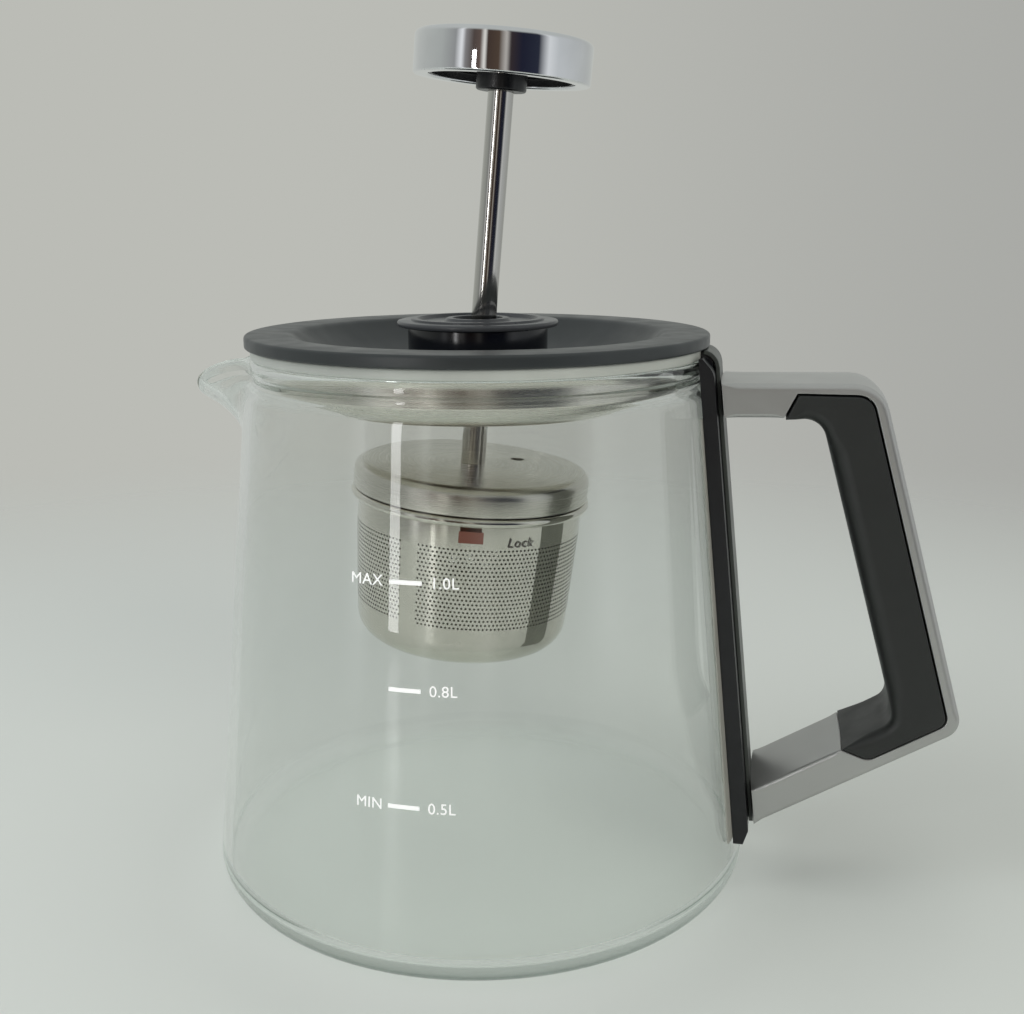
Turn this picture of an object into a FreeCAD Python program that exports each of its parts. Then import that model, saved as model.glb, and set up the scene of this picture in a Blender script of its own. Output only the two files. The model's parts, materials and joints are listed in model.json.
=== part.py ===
import FreeCAD, Part
import math
import os
import re

import Sketcher
from FreeCAD import Placement, Rotation, Vector

# Glass tea jug with a lid, a rod that slides through the lid and a strainer that hangs on the rod.
# Millimetres, +Z up. The origin is the middle of the base, the handle points to +X and the spout to -X.

doc = FreeCAD.newDocument("tea_maker")

# Driving sizes: name, value, what it is
SIZES = [
    ("base_radius", "67.5", "outside of the glass where the side meets the table"),
    ("shoulder_radius", "55.5", "outside of the glass at the shoulder"),
    ("shoulder_height", "120", "where the straight side ends"),
    ("neck_inset", "2.3", "waist under the rim, in from the shoulder"),
    ("neck_rise", "3.6", "shoulder to the waist"),
    ("rim_rise", "7.8", "shoulder to the top of the glass"),
    ("rim_bulge", "2.6", "rounding of the rim bead"),
    ("glass_wall", "1.9", "side wall"),
    ("floor_thickness", "3.6", "glass floor"),
    ("heel_round", "6", "outside round of the heel"),
    ("floor_round", "4.5", "inside round of the floor"),
    ("spout_length", "16.5", "spout beyond the shoulder"),
    ("spout_root_round", "14.5", "radius of the spout where it leaves the side"),
    ("spout_tip_round", "2.2", "radius of the spout at its tip"),
    ("spout_drop", "8.9", "top of the glass down to the centre of the spout's tip"),
    ("spout_wall", "1.7", "glass of the spout"),
    ("pad_thickness", "0.5", "silicone bond between glass and strip"),
    ("bond_gap", "0.06", "hair gap on each side of the bond"),
    ("pad_angle", "30", "how far the bond goes round the glass, degrees"),
    ("strip_width", "28", "mounting strip across"),
    ("strip_depth", "1.35", "mounting strip at its top"),
    ("strip_round", "5", "round of the strip's upper end"),
    ("strip_bottom", "12.6", "lower end of the strip"),
    ("strip_rise", "1.1", "strip above the glass"),
    ("plate_width", "14", "back plate of the handle across"),
    ("plate_depth", "1", "back plate of the handle"),
    ("handle_width", "23.4", "handle across"),
    ("handle_drop", "4.6", "top of the strip down to the top of the handle at its outer corner"),
    ("arm_rise", "0.7", "rise of the upper arm's top from strip to corner"),
    ("arm_depth", "8.7", "upper arm from top to underside"),
    ("handle_room", "60.5", "shoulder to the sharp outer corner of the handle below"),
    ("handle_corner_height", "44.7", "height of the outer corner below"),
    ("handle_lean", "22.5", "how far the grip leans out from top to bottom"),
    ("grip_depth", "15.3", "grip and frame together, level across the leg"),
    ("frame_band", "3.4", "silver band outside the grip"),
    ("lower_arm_foot", "16.4", "underside of the lower arm at the back plate"),
    ("lower_arm_depth", "10.1", "lower arm, measured upright"),
    ("grip_proud", "0.3", "grip stands out of each side of the frame"),
    ("grip_cover", "3.2", "silver band above the grip"),
    ("grip_floor", "4.1", "silver band under the grip, measured upright"),
    ("tongue_reach", "18.2", "upper outer corner back to the grip's upper end"),
    ("tail_reach", "27", "lower outer corner back to the grip's lower end"),
    ("tail_slant", "6.2", "slant of the grip's lower end"),
    ("tongue_slant", "2.7", "slant of the grip's upper end"),
    ("top_corner_round", "8.5", "outer round of the handle above"),
    ("low_corner_round", "5", "outer round of the handle below"),
    ("seat_round", "4", "round of the grip's seat above"),
    ("low_seat_round", "2.6", "round of the grip's seat below"),
    ("finger_round", "5", "inner round of the grip above"),
    ("low_finger_round", "4", "inner round of the grip below"),
    ("screw_radius", "2", "handle screw shank"),
    ("screw_head_radius", "3.6", "handle screw head"),
    ("screw_length", "6.6", "handle screw under its head"),
    ("lid_inset", "0.5", "shoulder to the edge of the lid's flange"),
    ("seal_thickness", "2.5", "silicone ring between the rim and the flange"),
    ("flange_thickness", "2.9", "edge of the flange"),
    ("dish_inset", "2.9", "plug of the lid to the edge where the flange turns down into the dish"),
    ("dish_depth", "9.2", "top of the flange to the floor of the dish"),
    ("dish_floor_radius", "24", "where the dish's slope meets its floor"),
    ("dish_round", "27", "round of the dish's slope"),
    ("lid_wall", "2.2", "plastic of the dish"),
    ("skirt_inset", "6.3", "waist of the glass to the plug of the lid that holds the steel pan"),
    ("pan_wall", "0.6", "steel of the pan"),
    ("pan_depth", "16", "top of the flange to the underside of the pan"),
    ("pan_round", "4.2", "round of the pan's lower edge"),
    ("seal_lip", "0.5", "silicone ring beyond the waist of the glass"),
    ("barrel_radius", "16.7", "collar on the lid"),
    ("barrel_bore", "9.6", "bore of the collar"),
    ("barrel_height", "10.4", "collar above the floor of the dish"),
    ("spigot_radius", "12", "collar where it goes through the lid"),
    ("nut_radius", "15.4", "ring nut under the lid"),
    ("nut_thickness", "2.3", "ring nut"),
    ("cap_radius", "19.2", "cap on the collar"),
    ("cap_thickness", "1.4", "cap on the collar"),
    ("cap_ring_radius", "15.9", "raised ring on the cap"),
    ("cap_ring_height", "0.5", "raised rings on the cap"),
    ("cap_hole", "6", "opening round the rod"),
    ("fit_gap", "0.1", "easy fit between parts that are screwed or pressed together"),
    ("ring_lift", "1.6", "pan to the middle of the ring that holds the rod"),
    ("grip_ring_radius", "5.1", "outside of the ring that holds the rod"),
    ("grip_ring_thickness", "2.2", "ring that holds the rod"),
    ("slide_gap", "0.05", "running clearance of rod and ring"),
    ("ring_room", "0.55", "room round the ring, which lets the rod rock"),
    ("rod_tilt", "5", "lean of the rod towards the handle, degrees"),
    ("rod_radius", "3", "rod"),
    ("stud_radius", "1.9", "turned-down ends of the rod"),
    ("knob_height", "70.6", "ring to the underside of the knob, along the rod"),
    ("knob_radius", "20.3", "knob"),
    ("knob_thickness", "9.4", "knob"),
    ("knob_wall", "3.5", "rim of the knob"),
    ("knob_crown", "1.6", "top of the knob's shell"),
    ("knob_recess", "2.4", "depth of the black face in the knob"),
    ("hub_radius", "5.8", "hub under the knob"),
    ("knob_screw_radius", "1.5", "screw that holds the knob on the rod"),
    ("knob_screw_length", "7", "thread of the knob's screw in the rod"),
    ("knob_screw_head", "3.2", "radius of the knob's screw head"),
    ("hub_drop", "2.3", "hub below the knob's rim"),
    ("foot_drop", "18.4", "ring to the top of the strainer's lid, along the rod"),
    ("cap_overhang", "0.9", "strainer lid beyond the strainer"),
    ("cap_skirt_height", "6.5", "strainer lid"),
    ("foot_washer_radius", "4.6", "washer under the strainer's lid"),
    ("foot_washer_thickness", "0.5", "washer under the strainer's lid"),
    ("foot_nut_corner", "4.04", "nut under the strainer's lid, axis to its corners"),
    ("foot_nut_thickness", "3", "nut under the strainer's lid"),
    ("steel", "0.6", "sheet of the strainer"),
    ("cap_edge_round", "2.6", "round of the strainer lid's edge"),
    ("vent_radius", "1.75", "hole in the strainer's lid"),
    ("vent_offset", "13.6", "rod to the hole in the strainer's lid"),
    ("vent_turn", "47.5", "where the hole in the strainer's lid lies, degrees from the handle"),
    ("cup_radius", "27.9", "strainer under its bead"),
    ("cup_taper", "2", "strainer narrower at its bottom than under its bead, before its lower round"),
    ("cup_depth", "37.8", "strainer from bead to bottom"),
    ("cup_round", "7", "lower round of the strainer"),
    ("bead_radius", "1.1", "rolled edge of the strainer"),
    ("lid_gap", "0.25", "gap between the strainer's lid and its bead"),
    ("lock_gap", "0.5", "gap between the bayonet ring and the strainer"),
    ("lock_ring_height", "12", "bayonet ring inside the strainer's lid"),
    ("pin_radius", "1.1", "bayonet pins of the strainer"),
    ("pin_drop", "3.5", "bayonet pins below the top of the bead"),
    ("twist", "25", "turn from locked to open, degrees"),
    ("tab_width", "5.6", "index tab on the strainer"),
    ("tab_height", "2.8", "index tab on the strainer"),
    ("tab_turn", "-75.5", "where the index tab lies, degrees from the handle"),
]
PIN_COUNT = 3

# Sizes that follow from the driving ones
DERIVED = {
    "neck_radius": "shoulder_radius - neck_inset",
    "neck_height": "shoulder_height + neck_rise",
    "rim_height": "shoulder_height + rim_rise",
    "spout_reach": "shoulder_radius + spout_length",
    "spout_tip_height": "rim_height - spout_drop",
    "strip_top": "rim_height + strip_rise",
    "handle_top": "strip_top - handle_drop",
    "handle_reach": "shoulder_radius + handle_room",
    "lid_radius": "shoulder_radius - lid_inset",
    "lid_top_height": "rim_height + seal_thickness + flange_thickness",
    "skirt_radius": "neck_radius - skirt_inset",
    "dish_radius": "skirt_radius - dish_inset",
    "dish_floor_height": "lid_top_height - dish_depth",
    "pan_bottom": "lid_top_height - pan_depth",
    "seal_radius": "neck_radius + seal_lip",
    "grip_ring_height": "pan_bottom + pan_wall + ring_lift",
    "cap_skirt_radius": "cup_radius + cap_overhang",
    "cup_foot_radius": "cup_radius - cup_taper",
    "lock_ring_radius": "cup_radius - steel - lock_gap",
}

sheet = doc.addObject("Spreadsheet::Sheet", "Sizes")
for row, (alias, value, note) in enumerate(SIZES, start=1):
    sheet.set("A%d" % row, alias)
    sheet.set("B%d" % row, value)
    sheet.setAlias("B%d" % row, alias)
    sheet.set("C%d" % row, note)
doc.recompute()

FUNCTIONS = ("sin", "cos", "tan", "sqrt", "atan", "asin", "acos", "deg")


def bound(text):
    """An expression in which every size name points at its cell of the sheet. A derived size is written out."""
    def cell(match):
        word = match.group(0)
        if word in DERIVED:
            return "(" + bound(DERIVED[word]) + ")"
        return word if word in FUNCTIONS else "Sizes." + word
    return re.sub(r"[a-z][a-z_]+", cell, text)


def value(text):
    """The number that an expression of size names gives."""
    result = sheet.evalExpression(bound(text))
    return float(getattr(result, "Value", result))


def new_body(name):
    body = doc.addObject("PartDesign::Body", name)
    body.Label = name
    return body


def new_sketch(body, role, name, offset=None):
    """A sketch on one of the body's own planes, moved along that plane's normal by an expression."""
    sketch = body.newObject("Sketcher::SketchObject", name)
    plane = next(item for item in body.Origin.OriginFeatures if item.Role == role)
    sketch.AttachmentSupport = [(plane, "")]
    sketch.MapMode = "FlatFace"
    if offset is not None:
        sketch.setExpression("AttachmentOffset.Base.z", bound(offset))
    doc.recompute()
    return sketch


def pin_point(sketch, curve, end, across, up):
    """Hold one point of a sketch at two expressions."""
    for kind, text, axis in (("DistanceX", across, -2), ("DistanceY", up, -1)):
        number = value(text)
        if abs(number) < 1e-9:
            sketch.addConstraint(Sketcher.Constraint("PointOnObject", curve, end, axis))
        elif number > 0:
            index = sketch.addConstraint(Sketcher.Constraint(kind, -1, 1, curve, end, number))
            sketch.setExpression("Constraints[%d]" % index, bound(text))
        else:
            index = sketch.addConstraint(Sketcher.Constraint(kind, curve, end, -1, 1, -number))
            sketch.setExpression("Constraints[%d]" % index, bound("-(%s)" % text))


def draw_outline(sketch, corners):
    """Closed outline through corners (across, up) or (across, up, radius). A radius rounds the edge that
    leaves the corner: above zero it turns to the left of the way to the next corner, below to the right."""
    spots = [Vector(value(corner[0]), value(corner[1]), 0) for corner in corners]
    ends = []
    for index, corner in enumerate(corners):
        here = spots[index]
        there = spots[(index + 1) % len(spots)]
        if len(corner) == 2:
            curve = sketch.addGeometry(Part.LineSegment(here, there), False)
            ends.append((curve, 1, 2))
            continue
        leftwards = corner[2][0] != "-"
        text = corner[2].lstrip("-")
        radius = value(text)
        chord = there - here
        reach = math.sqrt(max(radius ** 2 - chord.Length ** 2 / 4, 0))
        normal = Vector(-chord.y, chord.x, 0).normalize()
        centre = (here + there) * 0.5 + normal * (reach if leftwards else -reach)
        first, last = (here, there) if leftwards else (there, here)
        start = math.atan2(first.y - centre.y, first.x - centre.x)
        stop = math.atan2(last.y - centre.y, last.x - centre.x)
        if stop < start:
            stop += 2 * math.pi
        circle = Part.Circle(centre, Vector(0, 0, 1), radius)
        curve = sketch.addGeometry(Part.ArcOfCircle(circle, start, stop), False)
        ends.append((curve, 1, 2) if leftwards else (curve, 2, 1))
        held = sketch.addConstraint(Sketcher.Constraint("Radius", curve, radius))
        sketch.setExpression("Constraints[%d]" % held, bound(text))
    for index, (curve, start, stop) in enumerate(ends):
        after = ends[(index + 1) % len(ends)]
        sketch.addConstraint(Sketcher.Constraint("Coincident", curve, stop, after[0], after[1]))
        pin_point(sketch, curve, start, corners[index][0], corners[index][1])
    doc.recompute()
    return sketch


def draw_circle(sketch, across, up, radius):
    spot = Vector(value(across), value(up), 0)
    curve = sketch.addGeometry(Part.Circle(spot, Vector(0, 0, 1), value(radius)), False)
    held = sketch.addConstraint(Sketcher.Constraint("Radius", curve, value(radius)))
    sketch.setExpression("Constraints[%d]" % held, bound(radius))
    pin_point(sketch, curve, 3, across, up)
    doc.recompute()
    return sketch


def revolve(body, name, corners, angle=None):
    """Turn an outline in the XZ plane about Z: all the way round, or by an angle centred on +X."""
    feature = body.newObject("PartDesign::Revolution", name)
    feature.Profile = draw_outline(new_sketch(body, "XZ_Plane", name + "_outline"), corners)
    feature.ReferenceAxis = (feature.Profile[0], ["V_Axis"])
    if angle is not None:
        feature.Midplane = True
        feature.setExpression("Angle", bound(angle))
    doc.recompute()
    return feature


def groove(body, name, corners, angle=None):
    """Cut an outline that is turned about Z: all the way round, or by an angle from +X."""
    before = body.Shape.Volume
    feature = body.newObject("PartDesign::Groove", name)
    feature.Profile = draw_outline(new_sketch(body, "XZ_Plane", name + "_outline"), corners)
    feature.ReferenceAxis = (feature.Profile[0], ["V_Axis"])
    if angle is not None:
        feature.setExpression("Angle", bound(angle))
    doc.recompute()
    assert body.Shape.Volume < before - 1e-3, name
    return feature


def pattern(body, name, features, count):
    """Repeat features of a body evenly about Z."""
    ring = body.newObject("PartDesign::PolarPattern", name)
    ring.Originals = features
    upright = next(item for item in body.Origin.OriginFeatures if item.Role == "Z_Axis")
    ring.Axis = (upright, [""])
    ring.Angle = 360
    ring.Occurrences = count
    body.Tip = ring
    doc.recompute()
    return ring


def pad(body, name, corners, width):
    """Push an outline in the XZ plane out to both sides of that plane."""
    feature = body.newObject("PartDesign::Pad", name)
    feature.Profile = draw_outline(new_sketch(body, "XZ_Plane", name + "_outline"), corners)
    feature.Midplane = True
    feature.setExpression("Length", bound(width))
    doc.recompute()
    return feature


def pocket(body, name, sketch, depth, midplane=False, reverse=False):
    before = body.Shape.Volume
    feature = body.newObject("PartDesign::Pocket", name)
    feature.Profile = sketch
    feature.Midplane = midplane
    feature.Reversed = reverse
    feature.setExpression("Length", bound(depth))
    doc.recompute()
    assert body.Shape.Volume < before - 1e-3, name
    return feature


def round_edges(body, name, radius, wanted):
    """Round every edge of the body's tip for which wanted(edge) is true."""
    tip = body.Tip
    names = ["Edge%d" % (i + 1) for i, edge in enumerate(tip.Shape.Edges) if wanted(edge)]
    assert names, name
    feature = body.newObject("PartDesign::Fillet", name)
    feature.Base = (tip, names)
    feature.setExpression("Radius", bound(radius))
    doc.recompute()
    return feature


def ring_edge(radius, height):
    """A test for the round edge about Z with this radius and height."""
    def wanted(edge):
        curve = edge.Curve
        return (isinstance(curve, Part.Circle) and abs(curve.Radius - value(radius)) < 0.02
                and abs(edge.CenterOfMass.z - value(height)) < 0.02)
    return wanted


def seat_on_rod(body, along):
    """Place a body whose own Z is the rod's line, its origin at a distance along the leaning rod."""
    body.Placement = Placement(Vector(0, 0, 0), Rotation(Vector(0, 1, 0), value("rod_tilt")))
    body.setExpression("Placement.Rotation.Angle", bound("rod_tilt * 1 deg"))
    body.setExpression("Placement.Base.x", bound("(%s) * sin(rod_tilt * 1 deg)" % along))
    body.setExpression("Placement.Base.z",
                       bound("grip_ring_height + (%s) * cos(rod_tilt * 1 deg)" % along))
    doc.recompute()


def wall_at(height, extra="0"):
    """Outside radius of the glass's straight side at a height, with something added."""
    return "base_radius - (base_radius - shoulder_radius) * (%s) / shoulder_height + (%s)" % (height, extra)


# Glass jug: a turned shell with a pulled spout. It is drawn with the spout at +X and turned half round.
def make_glass():
    body = new_body("glass_jug")
    revolve(body, "glass_outside", [
        ("0", "0"), ("base_radius", "0"), ("shoulder_radius", "shoulder_height"),
        ("neck_radius", "neck_height", "rim_bulge"), ("neck_radius - 0.2", "rim_height"), ("0", "rim_height")])
    loft = body.newObject("PartDesign::AdditiveLoft", "spout_outside")
    draw_spout(body, loft, "outside", "0")
    round_edges(body, "heel", "heel_round", ring_edge("base_radius", "0"))
    floor_corner = wall_at("floor_thickness", "-glass_wall")
    groove(body, "glass_inside", [
        ("0", "floor_thickness"), (floor_corner, "floor_thickness"),
        ("shoulder_radius - glass_wall", "shoulder_height - 0.6"),
        ("neck_radius - glass_wall", "neck_height"), ("neck_radius - glass_wall", "rim_height + 2"),
        ("0", "rim_height + 2")])
    round_edges(body, "floor_corner", "floor_round", ring_edge(floor_corner, "floor_thickness"))
    before = body.Shape.Volume
    channel = body.newObject("PartDesign::SubtractiveLoft", "spout_inside")
    draw_spout(body, channel, "inside", "spout_wall")
    assert body.Shape.Volume < before, "spout_inside"
    lip = draw_outline(new_sketch(body, "XZ_Plane", "lip_outline"), [
        ("shoulder_radius - 16", "rim_height"), ("neck_radius", "rim_height"),
        ("spout_reach - 4.9", "rim_height - 4.6"), ("spout_reach + 1", "spout_tip_height"),
        ("spout_reach + 8", "spout_tip_height"), ("spout_reach + 8", "rim_height + 9"),
        ("shoulder_radius - 16", "rim_height + 9")])
    pocket(body, "lip", lip, "4 * spout_root_round", midplane=True)
    body.Placement = Placement(Vector(0, 0, 0), Rotation(Vector(0, 0, 1), 180))
    return body


def draw_spout(body, loft, side, wall):
    """Circles along the spout, each square to +X: distance from the axis, height of its centre, radius."""
    root = "shoulder_radius"
    rise = "(spout_reach - shoulder_radius)"
    stations = [
        (root + " - 10", "rim_height - 10.4", "spout_root_round + 1.4"),
        (root + " + 0.5", "rim_height - 10.8", "spout_root_round"),
        (root + " + 0.42 * " + rise, "rim_height - 6.4", "spout_root_round * 0.56"),
        (root + " + 0.72 * " + rise, "rim_height - 7.1", "spout_root_round * 0.38"),
        (root + " + " + rise, "spout_tip_height", "spout_tip_round")]
    sections = []
    for number, (across, height, radius) in enumerate(stations):
        sketch = new_sketch(body, "YZ_Plane", "spout_%s_%d" % (side, number), across)
        draw_circle(sketch, "0", height, "%s - %s" % (radius, wall))
        sections.append(sketch)
    loft.Profile = sections[0]
    loft.Sections = sections[1:]
    doc.recompute()


# Mounting strip, its bond, the back plate and the handle. The strip's back follows the glass.
def strip_back(height, extra="0"):
    depth = "pad_thickness + strip_depth + 0.008 * (strip_top - (%s)) + (%s)" % (height, extra)
    return wall_at(height, depth)


SCREW_HEIGHTS = ("handle_top - arm_depth / 2 - arm_rise / 2", "lower_arm_foot + 0.62 * lower_arm_depth")
HEAD_SEAT = "-0.6"
CURL_START = "strip_top - strip_round"
CURL_END = (strip_back(CURL_START, "-1.6"), "strip_top - 1.33")


def make_strip():
    bond = new_body("mount_pad")
    low, high = "strip_bottom + 1.5", "shoulder_height - 4.5"
    near, far = "bond_gap", "pad_thickness - bond_gap"
    revolve(bond, "bond", [
        (wall_at(low, near), low), (wall_at(low, far), low),
        (wall_at(high, far), high), (wall_at(high, near), high)], "pad_angle")

    strip = new_body("mount_strip")
    inside = wall_at("strip_bottom", "-24")
    pad(strip, "strip", [
        (inside, "strip_bottom"), (strip_back("strip_bottom", "-1.5"), "strip_bottom"),
        (strip_back("strip_bottom + 3.5"), "strip_bottom + 3.5"),
        (strip_back(CURL_START), CURL_START, "strip_round"), CURL_END,
        (strip_back(CURL_START, "-2.8"), "strip_top"), (inside, "strip_top")],
        "strip_width")
    groove(strip, "strip_hollow", [
        ("0", "strip_bottom - 1"), (wall_at("strip_bottom - 1", "pad_thickness"), "strip_bottom - 1"),
        (wall_at("strip_top + 1", "pad_thickness"), "strip_top + 1"), ("0", "strip_top + 1")])
    for number, height in enumerate(SCREW_HEIGHTS):
        cut_screw_hole(strip, "strip_shank_%d" % number, height, "screw_radius + fit_gap", None)
        cut_screw_hole(strip, "strip_head_%d" % number, height, "screw_head_radius + fit_gap", HEAD_SEAT)

    plate = new_body("back_plate")
    foot = "lower_arm_foot - 1"
    curl = "strip_top - 2.8"
    pad(plate, "plate", [
        (strip_back(foot), foot), (strip_back(foot, "plate_depth"), foot),
        (strip_back(curl, "plate_depth"), curl, "4.2"), (CURL_END[0], "strip_top + 1.1"),
        (CURL_END[0], CURL_END[1], "-strip_round"), (strip_back(CURL_START), CURL_START)],
        "plate_width")
    for number, height in enumerate(SCREW_HEIGHTS):
        cut_screw_hole(plate, "plate_hole_%d" % number, height, "screw_radius + fit_gap", None)


def cut_screw_hole(body, name, height, radius, stop):
    """A round hole along +X: right through, or from the glass side up to a distance from the strip's back."""
    start = "shoulder_radius - 12"
    sketch = draw_circle(new_sketch(body, "YZ_Plane", name + "_circle", start), "0", height, radius)
    depth = "handle_reach" if stop is None else "(%s) - (%s)" % (strip_back(height, stop), start)
    pocket(body, name, sketch, depth, reverse=True)


def make_handle():
    outer_low = ("handle_reach", "handle_corner_height")
    outer_high = ("handle_reach - handle_lean", "handle_top")
    foot = strip_back("lower_arm_foot", "plate_depth")
    lean = "handle_lean / (handle_top - handle_corner_height)"
    fall = "(handle_corner_height - lower_arm_foot) / (handle_reach - (%s))" % foot
    under = "handle_top - arm_depth"

    def leg(height, inward):
        """A point of the leg's outer line moved in towards the jug."""
        return "handle_reach - %s * (%s - handle_corner_height) - (%s)" % (lean, height, inward)

    def arm(across, upward):
        """A point of the lower arm's underside moved up."""
        return "handle_corner_height - %s * (handle_reach - (%s)) + (%s)" % (fall, across, upward)

    grip_top = "handle_top - grip_cover"
    grip_end = "handle_reach - handle_lean - tongue_reach"
    grip_tail = "handle_reach - tail_reach + tail_slant"
    tail_side = "handle_reach - tail_reach"
    low_corner = "handle_reach - frame_band - 0.5"
    inner_x = "handle_reach - grip_depth - 0.1"
    tip = "lower_arm_foot + 0.94 * lower_arm_depth"
    top_root, under_root = "handle_top - arm_rise", under + " - arm_rise * 0.5"
    seam = [
        (tail_side, arm(tail_side, "lower_arm_depth")), (grip_tail, arm(grip_tail, "grip_floor")),
        (low_corner, arm(low_corner, "grip_floor")), (leg(grip_top, "frame_band"), grip_top),
        (grip_end, grip_top), (grip_end + " - tongue_slant", under)]

    frame = new_body("handle_frame")
    pad(frame, "frame_band_shape", [
        (foot, "lower_arm_foot"), outer_low, outer_high, (strip_back(top_root, "plate_depth"), top_root),
        (strip_back(under_root, "plate_depth"), under_root)] + seam[::-1] + [
        (strip_back(tip, "plate_depth"), tip)], "handle_width")
    round_edges(frame, "frame_top_corner", "top_corner_round", across_handle(outer_high, "0"))
    round_edges(frame, "frame_low_corner", "low_corner_round", across_handle(outer_low, "0"))
    round_edges(frame, "frame_seat_top", "seat_round", across_handle(seam[3], "0"))
    round_edges(frame, "frame_seat_low", "low_seat_round", across_handle(seam[2], "0"))
    for number, height in enumerate(SCREW_HEIGHTS):
        start = strip_back(height, "-2")
        sketch = draw_circle(new_sketch(frame, "YZ_Plane", "frame_hole_circle_%d" % number, start),
                             "0", height, "screw_radius")
        pocket(frame, "frame_hole_%d" % number, sketch, "2 - 0.6 + screw_length", reverse=True)

    grip = new_body("grip_insert")
    inner_high = (leg(under, "grip_depth"), under)
    inner_low = (inner_x, arm(inner_x, "lower_arm_depth"))
    pad(grip, "grip_shape", seam + [inner_high, inner_low], "handle_width + 2 * grip_proud")
    round_edges(grip, "grip_outer_top", "seat_round", across_handle(seam[3], "grip_proud"))
    round_edges(grip, "grip_outer_low", "low_seat_round", across_handle(seam[2], "grip_proud"))
    round_edges(grip, "grip_inner_top", "finger_round", across_handle(inner_high, "grip_proud"))
    round_edges(grip, "grip_inner_low", "low_finger_round", across_handle(inner_low, "grip_proud"))

    screws = new_body("handle_screws")
    for number, height in enumerate(SCREW_HEIGHTS):
        for part, radius, start, length in (
                ("head", "screw_head_radius", "-1.35", "0.75"),
                ("shank", "screw_radius", HEAD_SEAT, "screw_length")):
            sketch = new_sketch(screws, "YZ_Plane", "screw_%s_circle_%d" % (part, number),
                                strip_back(height, start))
            feature = screws.newObject("PartDesign::Pad", "screw_%s_%d" % (part, number))
            feature.Profile = draw_circle(sketch, "0", height, radius)
            feature.setExpression("Length", bound(length))
            doc.recompute()


def across_handle(spot, proud):
    """A test for an edge across the whole handle at a spot of its side."""
    width = value("handle_width + 2 * (%s)" % proud)

    def wanted(edge):
        middle = edge.CenterOfMass
        near = math.hypot(middle.x - value(spot[0]), middle.z - value(spot[1])) < 0.1
        return near and abs(edge.BoundBox.YLength - width) < 0.01
    return wanted


# Lid: dished plastic top, silicone ring, steel pan, and the collar that guides the rod.
def make_lid():
    top = new_body("lid_top")
    under_flange = "lid_top_height - flange_thickness"
    revolve(top, "lid_shell", [
        ("spigot_radius + fit_gap", "dish_floor_height - lid_wall"),
        ("dish_floor_radius", "dish_floor_height - lid_wall", "dish_round + lid_wall"),
        ("dish_radius + 0.4", under_flange), ("skirt_radius - 1.8", under_flange),
        ("skirt_radius - 1.8", "pan_bottom + pan_round + 1"), ("skirt_radius", "pan_bottom + pan_round + 1"),
        ("skirt_radius", under_flange), ("lid_radius", under_flange),
        ("lid_radius", "lid_top_height - 0.4"), ("lid_radius - 0.4", "lid_top_height"),
        ("dish_radius", "lid_top_height - 0.3", "-dish_round"), ("dish_floor_radius", "dish_floor_height"),
        ("spigot_radius + fit_gap", "dish_floor_height")])

    seal = new_body("lid_seal")
    inner = "skirt_radius + pan_wall + fit_gap"
    lip = "neck_radius - glass_wall - 0.35"
    revolve(seal, "seal_ring", [
        (inner, "rim_height - 1.6"), (lip, "rim_height - 1.6"), (lip, "rim_height"),
        ("seal_radius", "rim_height"), ("seal_radius", under_flange), (inner, under_flange)])

    pan = new_body("inner_cover")
    outside = "skirt_radius + pan_wall"
    hole = "rod_radius + 2"
    revolve(pan, "pan_shell", [
        (hole, "pan_bottom"), (outside, "pan_bottom"), (outside, under_flange),
        ("skirt_radius", under_flange), ("skirt_radius", "pan_bottom + pan_wall"),
        (hole, "pan_bottom + pan_wall")])
    round_edges(pan, "pan_outer_round", "pan_round", ring_edge(outside, "pan_bottom"))
    round_edges(pan, "pan_inner_round", "pan_round - pan_wall",
                ring_edge("skirt_radius", "pan_bottom + pan_wall"))

    barrel = new_body("collar_barrel")
    shelf = "dish_floor_height + barrel_height"
    revolve(barrel, "barrel_shell", [
        ("barrel_bore", "dish_floor_height - lid_wall - nut_thickness"),
        ("spigot_radius", "dish_floor_height - lid_wall - nut_thickness"),
        ("spigot_radius", "dish_floor_height"), ("barrel_radius", "dish_floor_height"),
        ("barrel_radius", shelf), ("barrel_bore", shelf)])

    cap = new_body("collar_cap")
    plate_top = shelf + " + cap_thickness"
    ring_top = plate_top + " + cap_ring_height"
    revolve(cap, "cap_shell", [
        ("cap_hole", shelf + " - 2.4"), ("barrel_bore - fit_gap", shelf + " - 2.4"),
        ("barrel_bore - fit_gap", shelf), ("cap_radius - 0.5", shelf), ("cap_radius", shelf + " + 0.5"),
        ("cap_radius - 0.5", plate_top), ("cap_ring_radius", plate_top), ("cap_ring_radius", ring_top),
        ("cap_ring_radius - 1.5", ring_top), ("cap_ring_radius - 2.1", plate_top + " - 0.3"),
        ("cap_hole + 2", plate_top + " - 0.3"), ("cap_hole + 1.4", ring_top), ("cap_hole + 0.3", ring_top),
        ("cap_hole", ring_top + " - 0.3")])

    nut = new_body("collar_nut")
    make_nut(nut)

    housing = new_body("guide_housing")
    ring_roof = "grip_ring_height + grip_ring_thickness / 2 + ring_room"
    revolve(housing, "housing_shell", [
        ("grip_ring_radius + ring_room", "pan_bottom + pan_wall"),
        ("barrel_bore - fit_gap", "pan_bottom + pan_wall"), ("barrel_bore - fit_gap", "dish_floor_height + 1"),
        ("rod_radius + 1.6", "dish_floor_height + 1"), ("rod_radius + 1.3", ring_roof),
        ("grip_ring_radius + ring_room", ring_roof)])


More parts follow.
